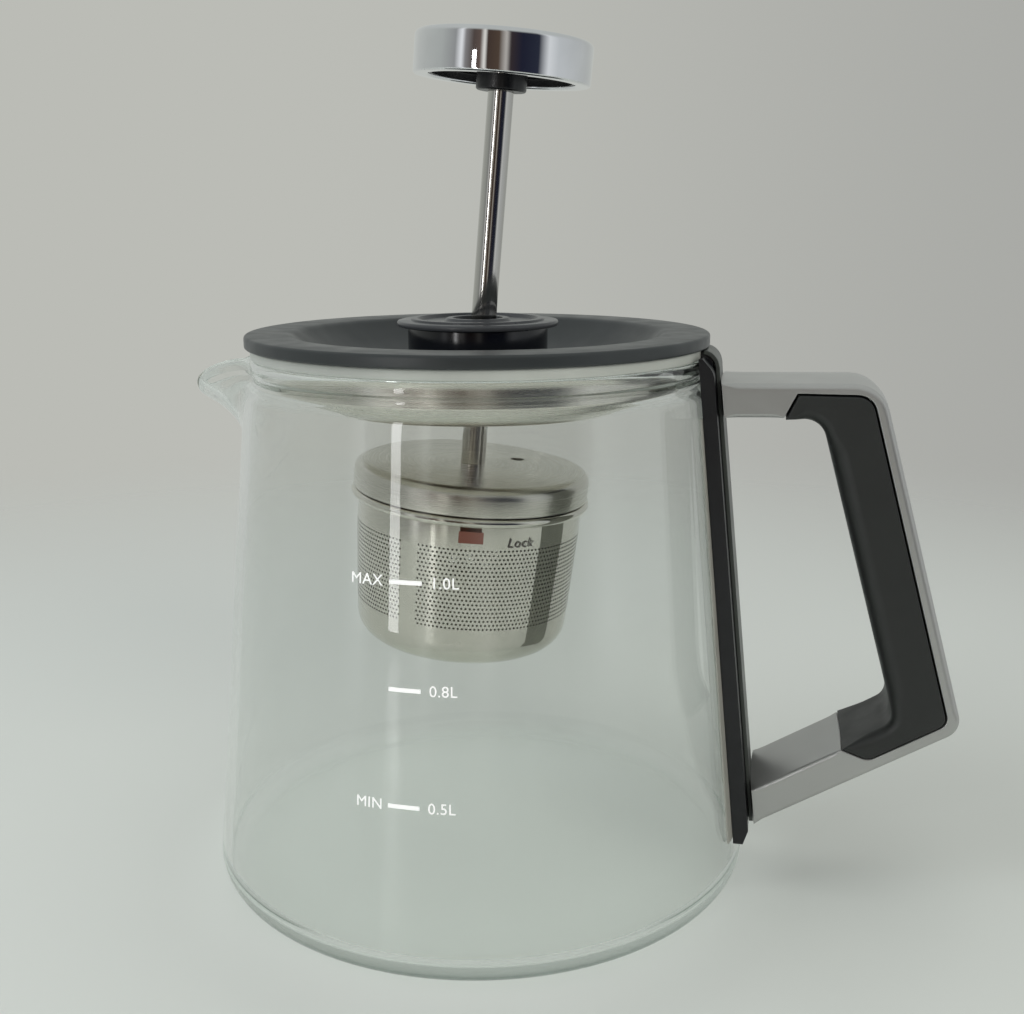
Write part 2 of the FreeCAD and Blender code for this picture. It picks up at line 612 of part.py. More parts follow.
def make_nut(body):
    """Ring nut with six notches for a spanner."""
    low = "dish_floor_height - lid_wall - nut_thickness"
    high = "dish_floor_height - lid_wall"
    revolve(body, "nut_ring", [
        ("spigot_radius", low), ("nut_radius", low), ("nut_radius", high), ("spigot_radius", high)])
    sketch = draw_circle(new_sketch(body, "XY_Plane", "nut_notch_circle", low), "nut_radius", "0", "1.2")
    notch = pocket(body, "nut_notch", sketch, "nut_thickness", reverse=True)
    pattern(body, "nut_notches", [notch], 6)


# Rod, knob and strainer, drawn upright and set on the leaning rod. Distances along it start at the grip ring.
WASHER = "foot_washer_thickness"
NUT = "foot_nut_thickness"
STUD = "(steel + %s + %s + 0.7)" % (WASHER, NUT)
SCREW = "knob_screw_radius"
SCREW_DEPTH = "knob_screw_length"
SCREW_HEAD = "knob_screw_head"
SEAT = "(hub_drop + knob_recess + 1.8)"


def make_rod():
    ring = new_body("grip_ring")
    bore = "rod_radius + slide_gap"
    high = "grip_ring_thickness"
    revolve(ring, "ring_round", [
        (bore, "0.5"), (bore + " + 0.5", "0"), ("grip_ring_radius - 0.5", "0"), ("grip_ring_radius", "0.5"),
        ("grip_ring_radius", high + " - 0.5"), ("grip_ring_radius - 0.5", high), (bore + " + 0.5", high),
        (bore, high + " - 0.5")])
    seat_on_rod(ring, "-grip_ring_thickness / 2")

    rod = new_body("plunger_rod")
    top = STUD + " + foot_drop + knob_height - hub_drop + " + SEAT
    revolve(rod, "rod_shape", [
        ("0", "0"), ("stud_radius - 0.3", "0"), ("stud_radius", "0.3"), ("stud_radius", STUD),
        ("rod_radius", STUD), ("rod_radius", top), (SCREW, top), (SCREW, "%s - %s - 1" % (top, SCREW_DEPTH)),
        ("0", "%s - %s - 1" % (top, SCREW_DEPTH))])
    seat_on_rod(rod, "-foot_drop - " + STUD)


def make_knob():
    shell = new_body("knob_shell")
    bore = "knob_radius - knob_wall"
    roof = "knob_thickness - knob_crown"
    revolve(shell, "shell_shape", [
        (bore, "0"), ("knob_radius", "0"), ("knob_radius", "knob_thickness"), ("0", "knob_thickness"),
        ("0", roof), (bore, roof)])
    round_edges(shell, "shell_top_round", "1.2", ring_edge("knob_radius", "knob_thickness"))
    round_edges(shell, "shell_low_round", "0.5", ring_edge("knob_radius", "0"))
    round_edges(shell, "shell_bore_round", "0.5", ring_edge(bore, "0"))
    seat_on_rod(shell, "knob_height")

    insert = new_body("knob_insert")
    face = "hub_drop + knob_recess"
    top = "hub_drop + " + roof
    revolve(insert, "insert_shape", [
        ("rod_radius", "0"), ("hub_radius - 0.5", "0"), ("hub_radius", "0.5"), ("hub_radius", face),
        (bore, face), (bore, top), (SCREW_HEAD + " + fit_gap", top),
        (SCREW_HEAD + " + fit_gap", SEAT + " + 1.4"),
        (SCREW, SEAT + " + 1.4"),
        (SCREW, SEAT), ("rod_radius", SEAT)])
    seat_on_rod(insert, "knob_height - hub_drop")

    screw = new_body("knob_screw")
    neck, end = SCREW_DEPTH + " + 1.4", SCREW_DEPTH + " + 3.4"
    revolve(screw, "screw_shape", [
        ("0", "0"), (SCREW, "0"), (SCREW, neck), (SCREW_HEAD, neck), (SCREW_HEAD, end), ("0", end)])
    seat_on_rod(screw, "knob_height - hub_drop + %s - %s" % (SEAT, SCREW_DEPTH))


def make_strainer_lid():
    lid = new_body("basket_lid")
    high = "cap_skirt_height"
    hole = "stud_radius + fit_gap"
    revolve(lid, "lid_sheet", [
        (hole, high), (hole, high + " - steel"), ("cap_skirt_radius - steel", high + " - steel"),
        ("cap_skirt_radius - steel", "0"), ("cap_skirt_radius", "0"), ("cap_skirt_radius", high)])
    round_edges(lid, "lid_edge_round", "cap_edge_round", ring_edge("cap_skirt_radius", high))
    round_edges(lid, "lid_inner_round", "cap_edge_round - steel",
                ring_edge("cap_skirt_radius - steel", high + " - steel"))
    across, up = "vent_offset * cos(vent_turn * 1 deg)", "vent_offset * sin(vent_turn * 1 deg)"
    vent = draw_circle(new_sketch(lid, "XY_Plane", "vent_circle", high + " - 3"), across, up, "vent_radius")
    pocket(lid, "vent", vent, "6", reverse=True)
    seat_on_rod(lid, "-foot_drop - cap_skirt_height")

    washer = new_body("lid_washer")
    revolve(washer, "washer_shape", [
        (hole, "0"), ("foot_washer_radius", "0"), ("foot_washer_radius", WASHER), (hole, WASHER)])
    seat_on_rod(washer, "-foot_drop - steel - " + WASHER)

    nut = new_body("lid_nut")
    hexagon = new_sketch(nut, "XY_Plane", "nut_outline")
    corner = "foot_nut_corner * %s(%d deg)"
    draw_outline(hexagon, [(corner % ("cos", turn), corner % ("sin", turn)) for turn in range(0, 360, 60)])
    draw_circle(hexagon, "0", "0", "stud_radius")
    feature = nut.newObject("PartDesign::Pad", "nut_shape")
    feature.Profile = hexagon
    feature.setExpression("Length", bound(NUT))
    seat_on_rod(nut, "-foot_drop - steel - %s - %s" % (WASHER, NUT))


PIN_HEIGHT = "lock_ring_height - cap_skirt_height - lid_gap - pin_drop + steel"
SLOT = "(pin_radius + 0.25)"


def make_bayonet():
    """Ring under the strainer's lid. Each slot runs round from the pin's locked place, then down and out."""
    ring = new_body("bayonet_ring")
    inside = "lock_ring_radius - steel"
    high = "lock_ring_height"
    revolve(ring, "lock_sheet", [
        ("lock_ring_radius - 5.3", high), ("lock_ring_radius - 5.3", high + " - steel"),
        (inside, high + " - steel"), (inside, "0"), ("lock_ring_radius", "0"), ("lock_ring_radius", high)])
    round_edges(ring, "lock_edge_round", "2", ring_edge("lock_ring_radius", high))
    round_edges(ring, "lock_inner_round", "2 - steel", ring_edge(inside, high + " - steel"))
    near, far = "lock_ring_radius - 2", "lock_ring_radius + 1"
    run = groove(ring, "slot_run", [
        (near, PIN_HEIGHT + " - " + SLOT), (far, PIN_HEIGHT + " - " + SLOT),
        (far, PIN_HEIGHT + " + " + SLOT), (near, PIN_HEIGHT + " + " + SLOT)], "twist")
    sketch = draw_circle(new_sketch(ring, "YZ_Plane", "slot_end_circle", near), "0", PIN_HEIGHT, SLOT)
    end = pocket(ring, "slot_end", sketch, "4", reverse=True)
    sketch = new_sketch(ring, "XY_Plane", "slot_way_outline")
    draw_outline(sketch, turned_block(near, far, SLOT, "twist"))
    way = pocket(ring, "slot_way", sketch, PIN_HEIGHT + " + " + SLOT, reverse=True)
    pattern(ring, "slots", [end, run, way], PIN_COUNT)
    seat_on_rod(ring, "-foot_drop - steel - lock_ring_height")


def turned_block(near, far, half, turn):
    """Corners of a rectangle that lies along a line from the axis, turned from +X by an angle in degrees."""
    cos, sin = "cos((%s) * 1 deg)" % turn, "sin((%s) * 1 deg)" % turn
    corners = []
    for out, side in ((near, "-"), (far, "-"), (far, "+"), (near, "+")):
        across = "(%s) * %s - (0 %s (%s)) * %s" % (out, cos, side, half, sin)
        up = "(%s) * %s + (0 %s (%s)) * %s" % (out, sin, side, half, cos)
        corners.append((across, up))
    return corners


def make_cup():
    cup = new_body("basket_cup")
    high = "cup_depth - bead_radius"
    revolve(cup, "cup_sheet", [
        ("0", "0"), ("cup_foot_radius", "0"), ("cup_radius", high), ("cup_radius - steel", high),
        ("cup_foot_radius - steel", "steel"), ("0", "steel")])
    round_edges(cup, "cup_lower_round", "cup_round", ring_edge("cup_foot_radius", "0"))
    round_edges(cup, "cup_inner_round", "cup_round - steel", ring_edge("cup_foot_radius - steel", "steel"))
    bead = cup.newObject("PartDesign::Revolution", "bead")
    sketch = new_sketch(cup, "XZ_Plane", "bead_circle")
    bead.Profile = draw_circle(sketch, "cup_radius + 0.3", high, "bead_radius")
    bead.ReferenceAxis = (bead.Profile[0], ["V_Axis"])
    doc.recompute()
    low = "cup_depth - 2 * bead_radius - 0.4 - tab_height"
    tab = cup.newObject("PartDesign::Pad", "index_tab")
    sketch = new_sketch(cup, "XY_Plane", "tab_outline", low)
    corners = turned_block("cup_radius - 0.5", "cup_radius + 0.5", "tab_width / 2", "tab_turn")
    tab.Profile = draw_outline(sketch, corners)
    tab.setExpression("Length", bound("tab_height"))
    doc.recompute()
    pin = cup.newObject("PartDesign::Pad", "pin")
    start = "lock_ring_radius - steel - 0.3"
    sketch = new_sketch(cup, "YZ_Plane", "pin_circle", start)
    pin.Profile = draw_circle(sketch, "0", "cup_depth - pin_drop", "pin_radius")
    pin.setExpression("Length", bound("cup_radius - 0.2 - (%s)" % start))
    doc.recompute()
    pattern(cup, "pins", [pin], PIN_COUNT)
    seat_on_rod(cup, "-foot_drop - cap_skirt_height - lid_gap - cup_depth")


def write_parts():
    """Check every object and write each body under its own name."""
    doc.recompute()
    for item in doc.Objects:
        bad = [state for state in item.State if state in ("Invalid", "Error")]
        assert not bad, "%s is %s" % (item.Name, bad)
    os.makedirs("parts", exist_ok=True)
    for body in doc.findObjects("PartDesign::Body"):
        shape = body.Shape
        assert not shape.isNull() and shape.isValid() and shape.Solids, body.Label
        body.Shape.exportStep("parts/%s.step" % body.Label)


make_glass()
make_strip()
make_handle()
make_lid()
make_rod()
make_knob()
make_strainer_lid()
make_bayonet()
make_cup()
write_parts()
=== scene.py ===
import json
import math

import bmesh
import bpy
import numpy as np
from mathutils import Matrix, Vector


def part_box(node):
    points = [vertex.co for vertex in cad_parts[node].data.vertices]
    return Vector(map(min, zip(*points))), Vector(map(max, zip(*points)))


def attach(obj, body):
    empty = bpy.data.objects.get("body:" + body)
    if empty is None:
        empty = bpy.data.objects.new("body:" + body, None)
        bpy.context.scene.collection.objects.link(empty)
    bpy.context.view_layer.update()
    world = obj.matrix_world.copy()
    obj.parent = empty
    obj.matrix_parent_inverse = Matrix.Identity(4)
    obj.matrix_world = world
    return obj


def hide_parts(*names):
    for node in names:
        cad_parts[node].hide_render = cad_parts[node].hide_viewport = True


# Looks of a glass tea jug: a lid with a rod through it, and a strainer that hangs on the rod.
# Sizes are in millimetres here and become metres when a mesh is made. The handle points to +X.
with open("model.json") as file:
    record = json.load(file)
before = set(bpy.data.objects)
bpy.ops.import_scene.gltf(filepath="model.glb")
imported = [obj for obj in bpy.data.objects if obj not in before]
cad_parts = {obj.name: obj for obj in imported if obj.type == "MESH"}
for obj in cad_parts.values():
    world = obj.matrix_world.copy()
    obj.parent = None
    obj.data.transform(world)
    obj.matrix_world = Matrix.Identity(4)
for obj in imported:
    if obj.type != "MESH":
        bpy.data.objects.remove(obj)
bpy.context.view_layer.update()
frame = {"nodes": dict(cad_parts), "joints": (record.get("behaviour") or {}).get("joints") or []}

MM = 0.001
ROUND = 192

# The rod leans towards the handle and rocks in a ring inside the lid.
SLIDE = next(joint for joint in frame["joints"] if joint["name"] == "rod_slide")
LEAN = math.atan2(SLIDE["axis"][0], SLIDE["axis"][2])
RING = np.array((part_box("grip_ring")[0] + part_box("grip_ring")[1]) / 2) / MM
ROD_TURN = np.array([[math.cos(LEAN), 0, math.sin(LEAN)], [0, 1, 0], [-math.sin(LEAN), 0, math.cos(LEAN)]])


def measure(node, leaning=False):
    """Least and greatest distance of a node from its axis, then its lowest and highest place along it."""
    spots = np.array([corner.co for corner in frame["nodes"][node].data.vertices]) / MM
    if leaning:
        spots = (spots - RING) @ ROD_TURN
    far = np.hypot(spots[:, 0], spots[:, 1])
    return far.min(), far.max(), spots[:, 2].min(), spots[:, 2].max()


def on_rod(points):
    """Points given about the upright Z axis, leaned onto the rod's line: ring + turn times point."""
    return points @ ROD_TURN.T + RING


# Shapes
def rounded(corners, steps=6, closed=True):
    """Outline through corners (across, up, round). Where round is above 0 an arc touches both sides:
    it leaves the corner by round times the tangent of half the turn."""
    spots = np.array([corner[:2] for corner in corners], float)
    line = []
    for i, corner in enumerate(corners):
        here = spots[i]
        size = corner[2] if len(corner) > 2 else 0
        at_end = not closed and i in (0, len(corners) - 1)
        if size <= 0 or at_end:
            line.append(here)
            continue
        back = spots[i - 1] - here
        ahead = spots[(i + 1) % len(corners)] - here
        back /= np.linalg.norm(back)
        ahead /= np.linalg.norm(ahead)
        half = math.acos(np.clip(back @ ahead, -1, 1)) / 2
        middle = back + ahead
        centre = here + middle / np.linalg.norm(middle) * size / math.sin(half)
        first = here + back * size / math.tan(half) - centre
        last = here + ahead * size / math.tan(half) - centre
        sweep = math.atan2(first[0] * last[1] - first[1] * last[0], first @ last)
        for turn in np.linspace(0, sweep, steps + 1):
            cos, sin = math.cos(turn), math.sin(turn)
            spot = (first[0] * cos - first[1] * sin, first[0] * sin + first[1] * cos)
            line.append(centre + np.array(spot))
    return np.array(line)


def through(points, steps=6):
    """Smooth line through points: Catmull-Rom cubics, in which each tangent is half the way between
    the two neighbours."""
    spots = np.array(points, float)
    ends = np.vstack([2 * spots[0] - spots[1], spots, 2 * spots[-1] - spots[-2]])
    t = np.linspace(0, 1, steps, endpoint=False)[None, :, None]
    a, b, c, d = (ends[k:len(ends) - 3 + k, None, :] for k in range(4))
    line = 2 * b + (c - a) * t + (2 * a - 5 * b + 4 * c - d) * t ** 2 + (3 * b - a - 3 * c + d) * t ** 3
    line = 0.5 * line
    return np.vstack([line.reshape(-1, spots.shape[1]), spots[-1:]])


def grid_faces(rows, columns, wrap_rows, wrap_columns):
    """Four-sided faces of a grid of points that is stored row by row."""
    i = np.arange(rows if wrap_rows else rows - 1)[:, None]
    j = np.arange(columns if wrap_columns else columns - 1)[None, :]
    up, along = (i + 1) % rows, (j + 1) % columns
    corners = [i * columns + j, i * columns + along, up * columns + along, up * columns + j]
    return np.stack(np.broadcast_arrays(*corners), -1).reshape(-1, 4)


def turned(outline, closed=True, count=ROUND, start=0.0):
    """Surface of revolution of an outline (r, z): each point goes to (r cos a, r sin a, z)."""
    turn = start + np.arange(count) * 2 * math.pi / count
    r, z = outline[:, 0][:, None], outline[:, 1][:, None]
    points = np.stack([r * np.cos(turn), r * np.sin(turn), z + 0 * turn], -1).reshape(-1, 3)
    return points, grid_faces(len(outline), count, closed, True)


def make_piece(name, shapes, body, material, replaces=(), sharp=32):
    """One mesh from shapes of (points in mm, faces): doubles merged, faces outwards, soft shading up to
    an angle between faces."""
    points = np.vstack([shape[0] for shape in shapes]) * MM
    faces, first = [], 0
    for shape in shapes:
        faces += [[first + corner for corner in face] for face in np.asarray(shape[1], object).tolist()]
        first += len(shape[0])
    mesh = bpy.data.meshes.new(name)
    mesh.from_pydata(points.tolist(), [], faces)
    build = bmesh.new()
    build.from_mesh(mesh)
    bmesh.ops.remove_doubles(build, verts=build.verts, dist=2e-7)
    bmesh.ops.dissolve_degenerate(build, edges=build.edges, dist=1e-8)
    bmesh.ops.recalc_face_normals(build, faces=build.faces)
    build.to_mesh(mesh)
    build.free()
    mesh.shade_smooth()
    mesh.set_sharp_from_angle(angle=math.radians(sharp))
    piece = bpy.data.objects.new(name, mesh)
    bpy.context.scene.collection.objects.link(piece)
    return dress(piece, body, material, replaces)


def dress(piece, body, material, replaces=()):
    piece.data.materials.clear()
    piece.data.materials.append(material)
    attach(piece, body)
    if replaces:
        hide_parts(*replaces)
    return piece


def slab(corners, half_width, crown=0.0, turns=5):
    """A flat shape pushed out to both sides of the XZ plane, its edges rounded. Corners are
    (x, z, round, edge): edge is the rounding along the side that leaves the corner. A point of the rim is
    moved in by crown times the square of its share of the half width. Over the rounding it's moved in by
    edge times one minus the cosine of the turn. Between two corners the rounding changes by grow per mm."""
    line, edges = [], []
    total = len(corners)
    grow, step = 0.35, 1.5
    for i, corner in enumerate(corners):
        before, after, beyond = corners[i - 1], corners[(i + 1) % total], corners[(i + 2) % total]
        arc = rounded([before[:2] + (0,), corner[:3], after[:2] + (0,)], 8, closed=False)[1:-1]
        line += list(arc)
        edges += [min(before[3], corner[3])] * len(arc)
        there = rounded([corner[:2] + (0,), after[:3], beyond[:2] + (0,)], 8, closed=False)[1]
        way = there - arc[-1]
        length = np.linalg.norm(way)
        for spot in np.linspace(0, length, max(int(length / step), 1) + 1)[1:-1]:
            line.append(arc[-1] + way * spot / length)
            edges.append(min(corner[3], min(before[3], corner[3]) + grow * spot,
                             min(corner[3], after[3]) + grow * (length - spot)))
    line, edge = np.array(line), np.array(edges)
    back = line - np.roll(line, 1, 0)
    ahead = np.roll(line, -1, 0) - line
    back /= np.linalg.norm(back, axis=1)[:, None]
    ahead /= np.linalg.norm(ahead, axis=1)[:, None]
    area = np.sum(line[:, 0] * np.roll(line[:, 1], -1) - line[:, 1] * np.roll(line[:, 0], -1))
    side = math.copysign(1, area)
    inward = side * np.stack([-(back + ahead)[:, 1], (back + ahead)[:, 0]], -1)
    square = side * np.stack([-ahead[:, 1], ahead[:, 0]], -1)
    inward /= np.maximum(np.sum(inward * square, 1), 0.3)[:, None]
    rows = []
    for share in np.linspace(-1, 1, 9):
        rows.append((share * (half_width - edge), crown * share ** 2 + 0 * edge))
    for turn in np.linspace(0, math.pi / 2, turns + 1)[1:]:
        reach = half_width - edge + edge * math.sin(turn)
        inset = crown + edge * (1 - math.cos(turn))
        rows.insert(0, (-reach, inset))
        rows.append((reach, inset))
    points = []
    for y, inset in rows:
        moved = line + inward * inset[:, None]
        points.append(np.stack([moved[:, 0], y, moved[:, 1]], -1))
    count = len(line)
    faces = grid_faces(len(rows), count, False, True).tolist()
    faces += [list(range(count)), list(range((len(rows) - 1) * count, len(rows) * count))]
    return np.vstack(points), faces


def soft_copy(node, name, edge, body, material):
    """A node's own shape, merged and with its edges rounded."""
    mesh = frame["nodes"][node].data.copy()
    mesh.name = name
    build = bmesh.new()
    build.from_mesh(mesh)
    bmesh.ops.remove_doubles(build, verts=build.verts, dist=1e-6)
    bmesh.ops.dissolve_limit(build, angle_limit=math.radians(0.4), verts=build.verts, edges=build.edges)
    build.to_mesh(mesh)
    build.free()
    mesh.shade_smooth()
    mesh.set_sharp_from_angle(angle=math.radians(32))
    piece = bpy.data.objects.new(name, mesh)
    bpy.context.scene.collection.objects.link(piece)
    bevel = piece.modifiers.new("soft_edges", "BEVEL")
    bevel.width = edge * MM
    bevel.segments = 3
    bevel.limit_method = "ANGLE"
    bevel.angle_limit = math.radians(30)
    bevel.use_clamp_overlap = True
    bevel.harden_normals = True
    return dress(piece, body, material, [node])


def even_shade(piece):
    """Shading normals that lean to the large faces, so that flat sides look flat up to their roundings."""
    weigh = piece.modifiers.new("even_shade", "WEIGHTED_NORMAL")
    weigh.keep_sharp = True


# Finishes
def colour(red, green, blue):
    """Colour as seen on a screen, 0 to 255, made linear."""
    share = np.array([red, green, blue]) / 255
    linear = np.where(share <= 0.04045, share / 12.92, ((share + 0.055) / 1.055) ** 2.4)
    return (*[float(part) for part in linear], 1.0)


def add_node(tree, kind, values=None, **settings):
    """A new node with its settings, and with a value or a link for each input that values names."""
    node = tree.nodes.new(kind)
    for key, setting in settings.items():
        setattr(node, key, setting)
    for socket, value in (values or {}).items():
        if isinstance(value, bpy.types.NodeSocket):
            tree.links.new(value, node.inputs[socket])
        else:
            node.inputs[socket].default_value = value
    return node


class Finish:
    """A material with one Principled shader, and nodes that vary it over the piece's own coordinates."""

    def __init__(self, name, tint, roughness, metallic=0.0, **sockets):
        self.material = bpy.data.materials.new(name)
        self.material.use_nodes = True
        self.tree = self.material.node_tree
        self.shader = self.tree.nodes["Principled BSDF"]
        self.tint = tint
        self.shader.inputs["Base Color"].default_value = tint
        self.shader.inputs["Roughness"].default_value = roughness
        self.shader.inputs["Metallic"].default_value = metallic
        for socket, amount in sockets.items():
            self.shader.inputs[socket.replace("_", " ")].default_value = amount

    def add(self, kind, values=None, **settings):
        return add_node(self.tree, kind, values, **settings)

    def feed(self, source, socket):
        self.tree.links.new(source, self.shader.inputs[socket])

    def show(self, source, socket="Surface"):
        self.tree.links.new(source, self.tree.nodes["Material Output"].inputs[socket])

    def place(self, scale=(1, 1, 1), lean=0.0, offset=(0, 0, 0)):
        """The piece's own coordinates from an offset, turned about Y by lean and divided by a scale."""
        own = self.add("ShaderNodeTexCoord").outputs["Object"]
        values = {"Vector": own, "Location": offset, "Rotation": (0, lean, 0), "Scale": scale}
        return self.add("ShaderNodeMapping", values, vector_type="TEXTURE").outputs["Vector"]

    def noise(self, size, stretch=(1, 1, 1), lean=0.0, detail=3.0):
        """Noise whose grains are about size mm, stretched along the piece, and turned about Y by lean."""
        spot = self.place([size * MM * part for part in stretch], lean)
        return self.add("ShaderNodeTexNoise", {"Vector": spot, "Scale": 1, "Detail": detail}).outputs["Fac"]

    def ringed(self, size, lean=0.0, offset=(0, 0, 0)):
        """Noise that changes only with the distance from the axis and the height: fine turned rings."""
        spot = self.place(lean=lean, offset=offset)
        flat = self.add("ShaderNodeVectorMath", {0: spot, 1: (1, 1, 0)}, operation="MULTIPLY")
        far = self.add("ShaderNodeVectorMath", {0: flat.outputs["Vector"]}, operation="LENGTH")
        height = self.add("ShaderNodeSeparateXYZ", {"Vector": spot}).outputs["Z"]
        both = self.add("ShaderNodeCombineXYZ", {"X": far.outputs["Value"], "Z": height})
        values = {"Vector": both.outputs["Vector"], "Scale": 1 / (size * MM), "Detail": 4}
        return self.add("ShaderNodeTexNoise", values).outputs["Fac"]

    def spread(self, source, low, high):
        """The middle of a noise's range mapped to the values from low to high."""
        values = {"Value": source, "From Min": 0.3, "From Max": 0.7, "To Min": low, "To Max": high}
        return self.add("ShaderNodeMapRange", values).outputs["Result"]

    def rough(self, source, low, high):
        self.feed(self.spread(source, low, high), "Roughness")
        return self

    def tinted(self, source, other, most=1.0):
        """Base colour that drifts from the tint to another with a noise."""
        values = {"A": self.tint, "B": other, "Factor": self.spread(source, 0, most)}
        self.feed(self.add("ShaderNodeMix", values, data_type="RGBA").outputs["Result"], "Base Color")
        return self

    def bump(self, source, depth):
        """Relief of about depth mm."""
        relief = self.add("ShaderNodeBump", {"Height": source, "Strength": 1, "Distance": depth * MM})
        self.feed(relief.outputs["Normal"], "Normal")
        return self


MIRRORED_MOST = 2


def clear_glass():
    """Glass that lets lamps through: shadow and diffuse rays pass straight, so its shadow stays pale. So
    do rays that have been mirrored too often, so that none is caught inside."""
    glass = Finish("borosilicate", (0.93, 0.94, 0.93, 1), 0.0, IOR=1.474, Transmission_Weight=1.0)
    glass.rough(glass.noise(9), 0.0, 0.012)

    def compare(operation, first, second):
        return glass.add("ShaderNodeMath", {0: first, 1: second}, operation=operation).outputs["Value"]

    path = glass.add("ShaderNodeLightPath").outputs
    lit = compare("MAXIMUM", path["Is Shadow Ray"], path["Is Diffuse Ray"])
    caught = compare("GREATER_THAN", path["Glossy Depth"], MIRRORED_MOST + 0.5)
    passing = glass.add("ShaderNodeBsdfTransparent", {"Color": (0.995, 1, 0.995, 1)})
    thick = glass.add("ShaderNodeVolumeAbsorption", {"Color": (0.42, 0.5, 0.46, 1), "Density": 15})
    straight = compare("MAXIMUM", lit, caught)
    values = {"Fac": straight, 1: glass.shader.outputs["BSDF"], 2: passing.outputs["BSDF"]}
    glass.show(glass.add("ShaderNodeMixShader", values).outputs["Shader"])
    glass.show(thick.outputs["Volume"], "Volume")
    return glass.material


def plastic(name, tint, low, high, grain=0.25, depth=0.01):
    """Moulded plastic: fine spark texture, slightly uneven gloss."""
    made = Finish(name, tint, low)
    made.rough(made.noise(6), low, high)
    made.tinted(made.noise(14), tuple(part * 1.25 for part in tint[:3]) + (1,), 0.6)
    return made.bump(made.noise(grain, detail=1), depth).material


def brushed(name, tint, low, high, stretch, lean=0.0, grain=0.12, depth=0.0012):
    """Steel drawn or ground in one direction: streaks of roughness, colour and relief."""
    made = Finish(name, tint, low, 1.0)
    streaks = made.noise(grain, stretch, lean, 4)
    made.rough(streaks, low, high)
    made.tinted(made.noise(3, stretch, lean), tuple(part * 0.8 for part in tint[:3]) + (1,))
    return made.bump(streaks, depth).material


def spun(name, tint, low, high, size, depth, lean=0.0, offset=(0, 0, 0)):
    """Steel turned or polished round its axis: fine rings."""
    made = Finish(name, tint, low, 1.0)
    rings = made.ringed(size, lean, offset)
    made.rough(rings, low, high)
    made.tinted(made.noise(12), tuple(part * 0.9 for part in tint[:3]) + (1,))
    return made.bump(rings, depth).material


def satin(name, tint, low, high):
    """Smooth plated silver with a soft, slightly uneven gloss."""
    made = Finish(name, tint, low, 0.65)
    made.rough(made.noise(9), low, high)
    made.tinted(made.noise(25), tuple(part * 0.94 for part in tint[:3]) + (1,))
    return made.bump(made.noise(0.2, detail=1), 0.0004).material


ROD_START = tuple(RING * MM)
GLASS = clear_glass()
BOND = plastic("bond_silicone", colour(150, 150, 143), 0.4, 0.5)
STRIP_BLACK = plastic("strip_black", colour(12, 13, 17), 0.28, 0.4)
HOOD = plastic("hood_grey", colour(62, 66, 63), 0.34, 0.44)
SATIN = satin("satin_silver", colour(176, 177, 175), 0.3, 0.36)
GRIP = plastic("grip_charcoal", colour(33, 35, 34), 0.4, 0.52, 0.3, 0.012)
PLAIN_STEEL = spun("plain_steel", colour(180, 180, 178), 0.2, 0.3, 0.2, 0.001)
LID_GREY = plastic("lid_grey", colour(42, 46, 47), 0.34, 0.44, 0.3, 0.01)
SEAL = plastic("seal_silicone", colour(176, 180, 174), 0.4, 0.55)
PAN = spun("pan_satin", colour(226, 222, 213), 0.22, 0.32, 0.25, 0.0012)
COLLAR = plastic("collar_blue_black", colour(11, 13, 19), 0.12, 0.2, 0.8, 0.003)
CAP_GREY = plastic("cap_grey", colour(58, 60, 63), 0.26, 0.36, 0.4, 0.006)
CHROME = spun("knob_chrome", colour(232, 233, 235), 0.02, 0.05, 0.6, 0.0002, LEAN, ROD_START)
ROD_STEEL = brushed("rod_steel", colour(205, 203, 198), 0.06, 0.14, (1, 1, 80), LEAN, 0.08, 0.0006)
LID_STEEL = spun("strainer_lid_steel", colour(214, 211, 202), 0.2, 0.3, 0.16, 0.0016, LEAN, ROD_START)
CUP_STEEL = spun("strainer_cup_steel", colour(222, 219, 210), 0.03, 0.07, 0.8, 0.0001, LEAN, ROD_START)
# White print of the scale with a painted glow: a small emission keeps it bright in any light.
PRINT_PAINTED_GLOW = Finish("white_print_painted_glow", colour(252, 253, 252), 0.5, Emission_Strength=0.14).material
MARK = Finish("etched_mark", colour(92, 89, 86), 0.45).material
TAB = plastic("red_brown_tab", colour(112, 66, 54), 0.4, 0.5)


# Glass jug
FOOT, SHOULDER, SHOULDER_HEIGHT, WALL = 67.5, 55.5, 120.0, 1.9
NECK, NECK_HEIGHT, RIM = 53.2, 123.6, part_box("glass_jug")[1].z / MM
REACH = -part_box("glass_jug")[0].x / MM
FLOOR_THICK = 3.6


def side_at(height):
    """Outside radius of the glass's straight side."""
    return FOOT - (FOOT - SHOULDER) * height / SHOULDER_HEIGHT


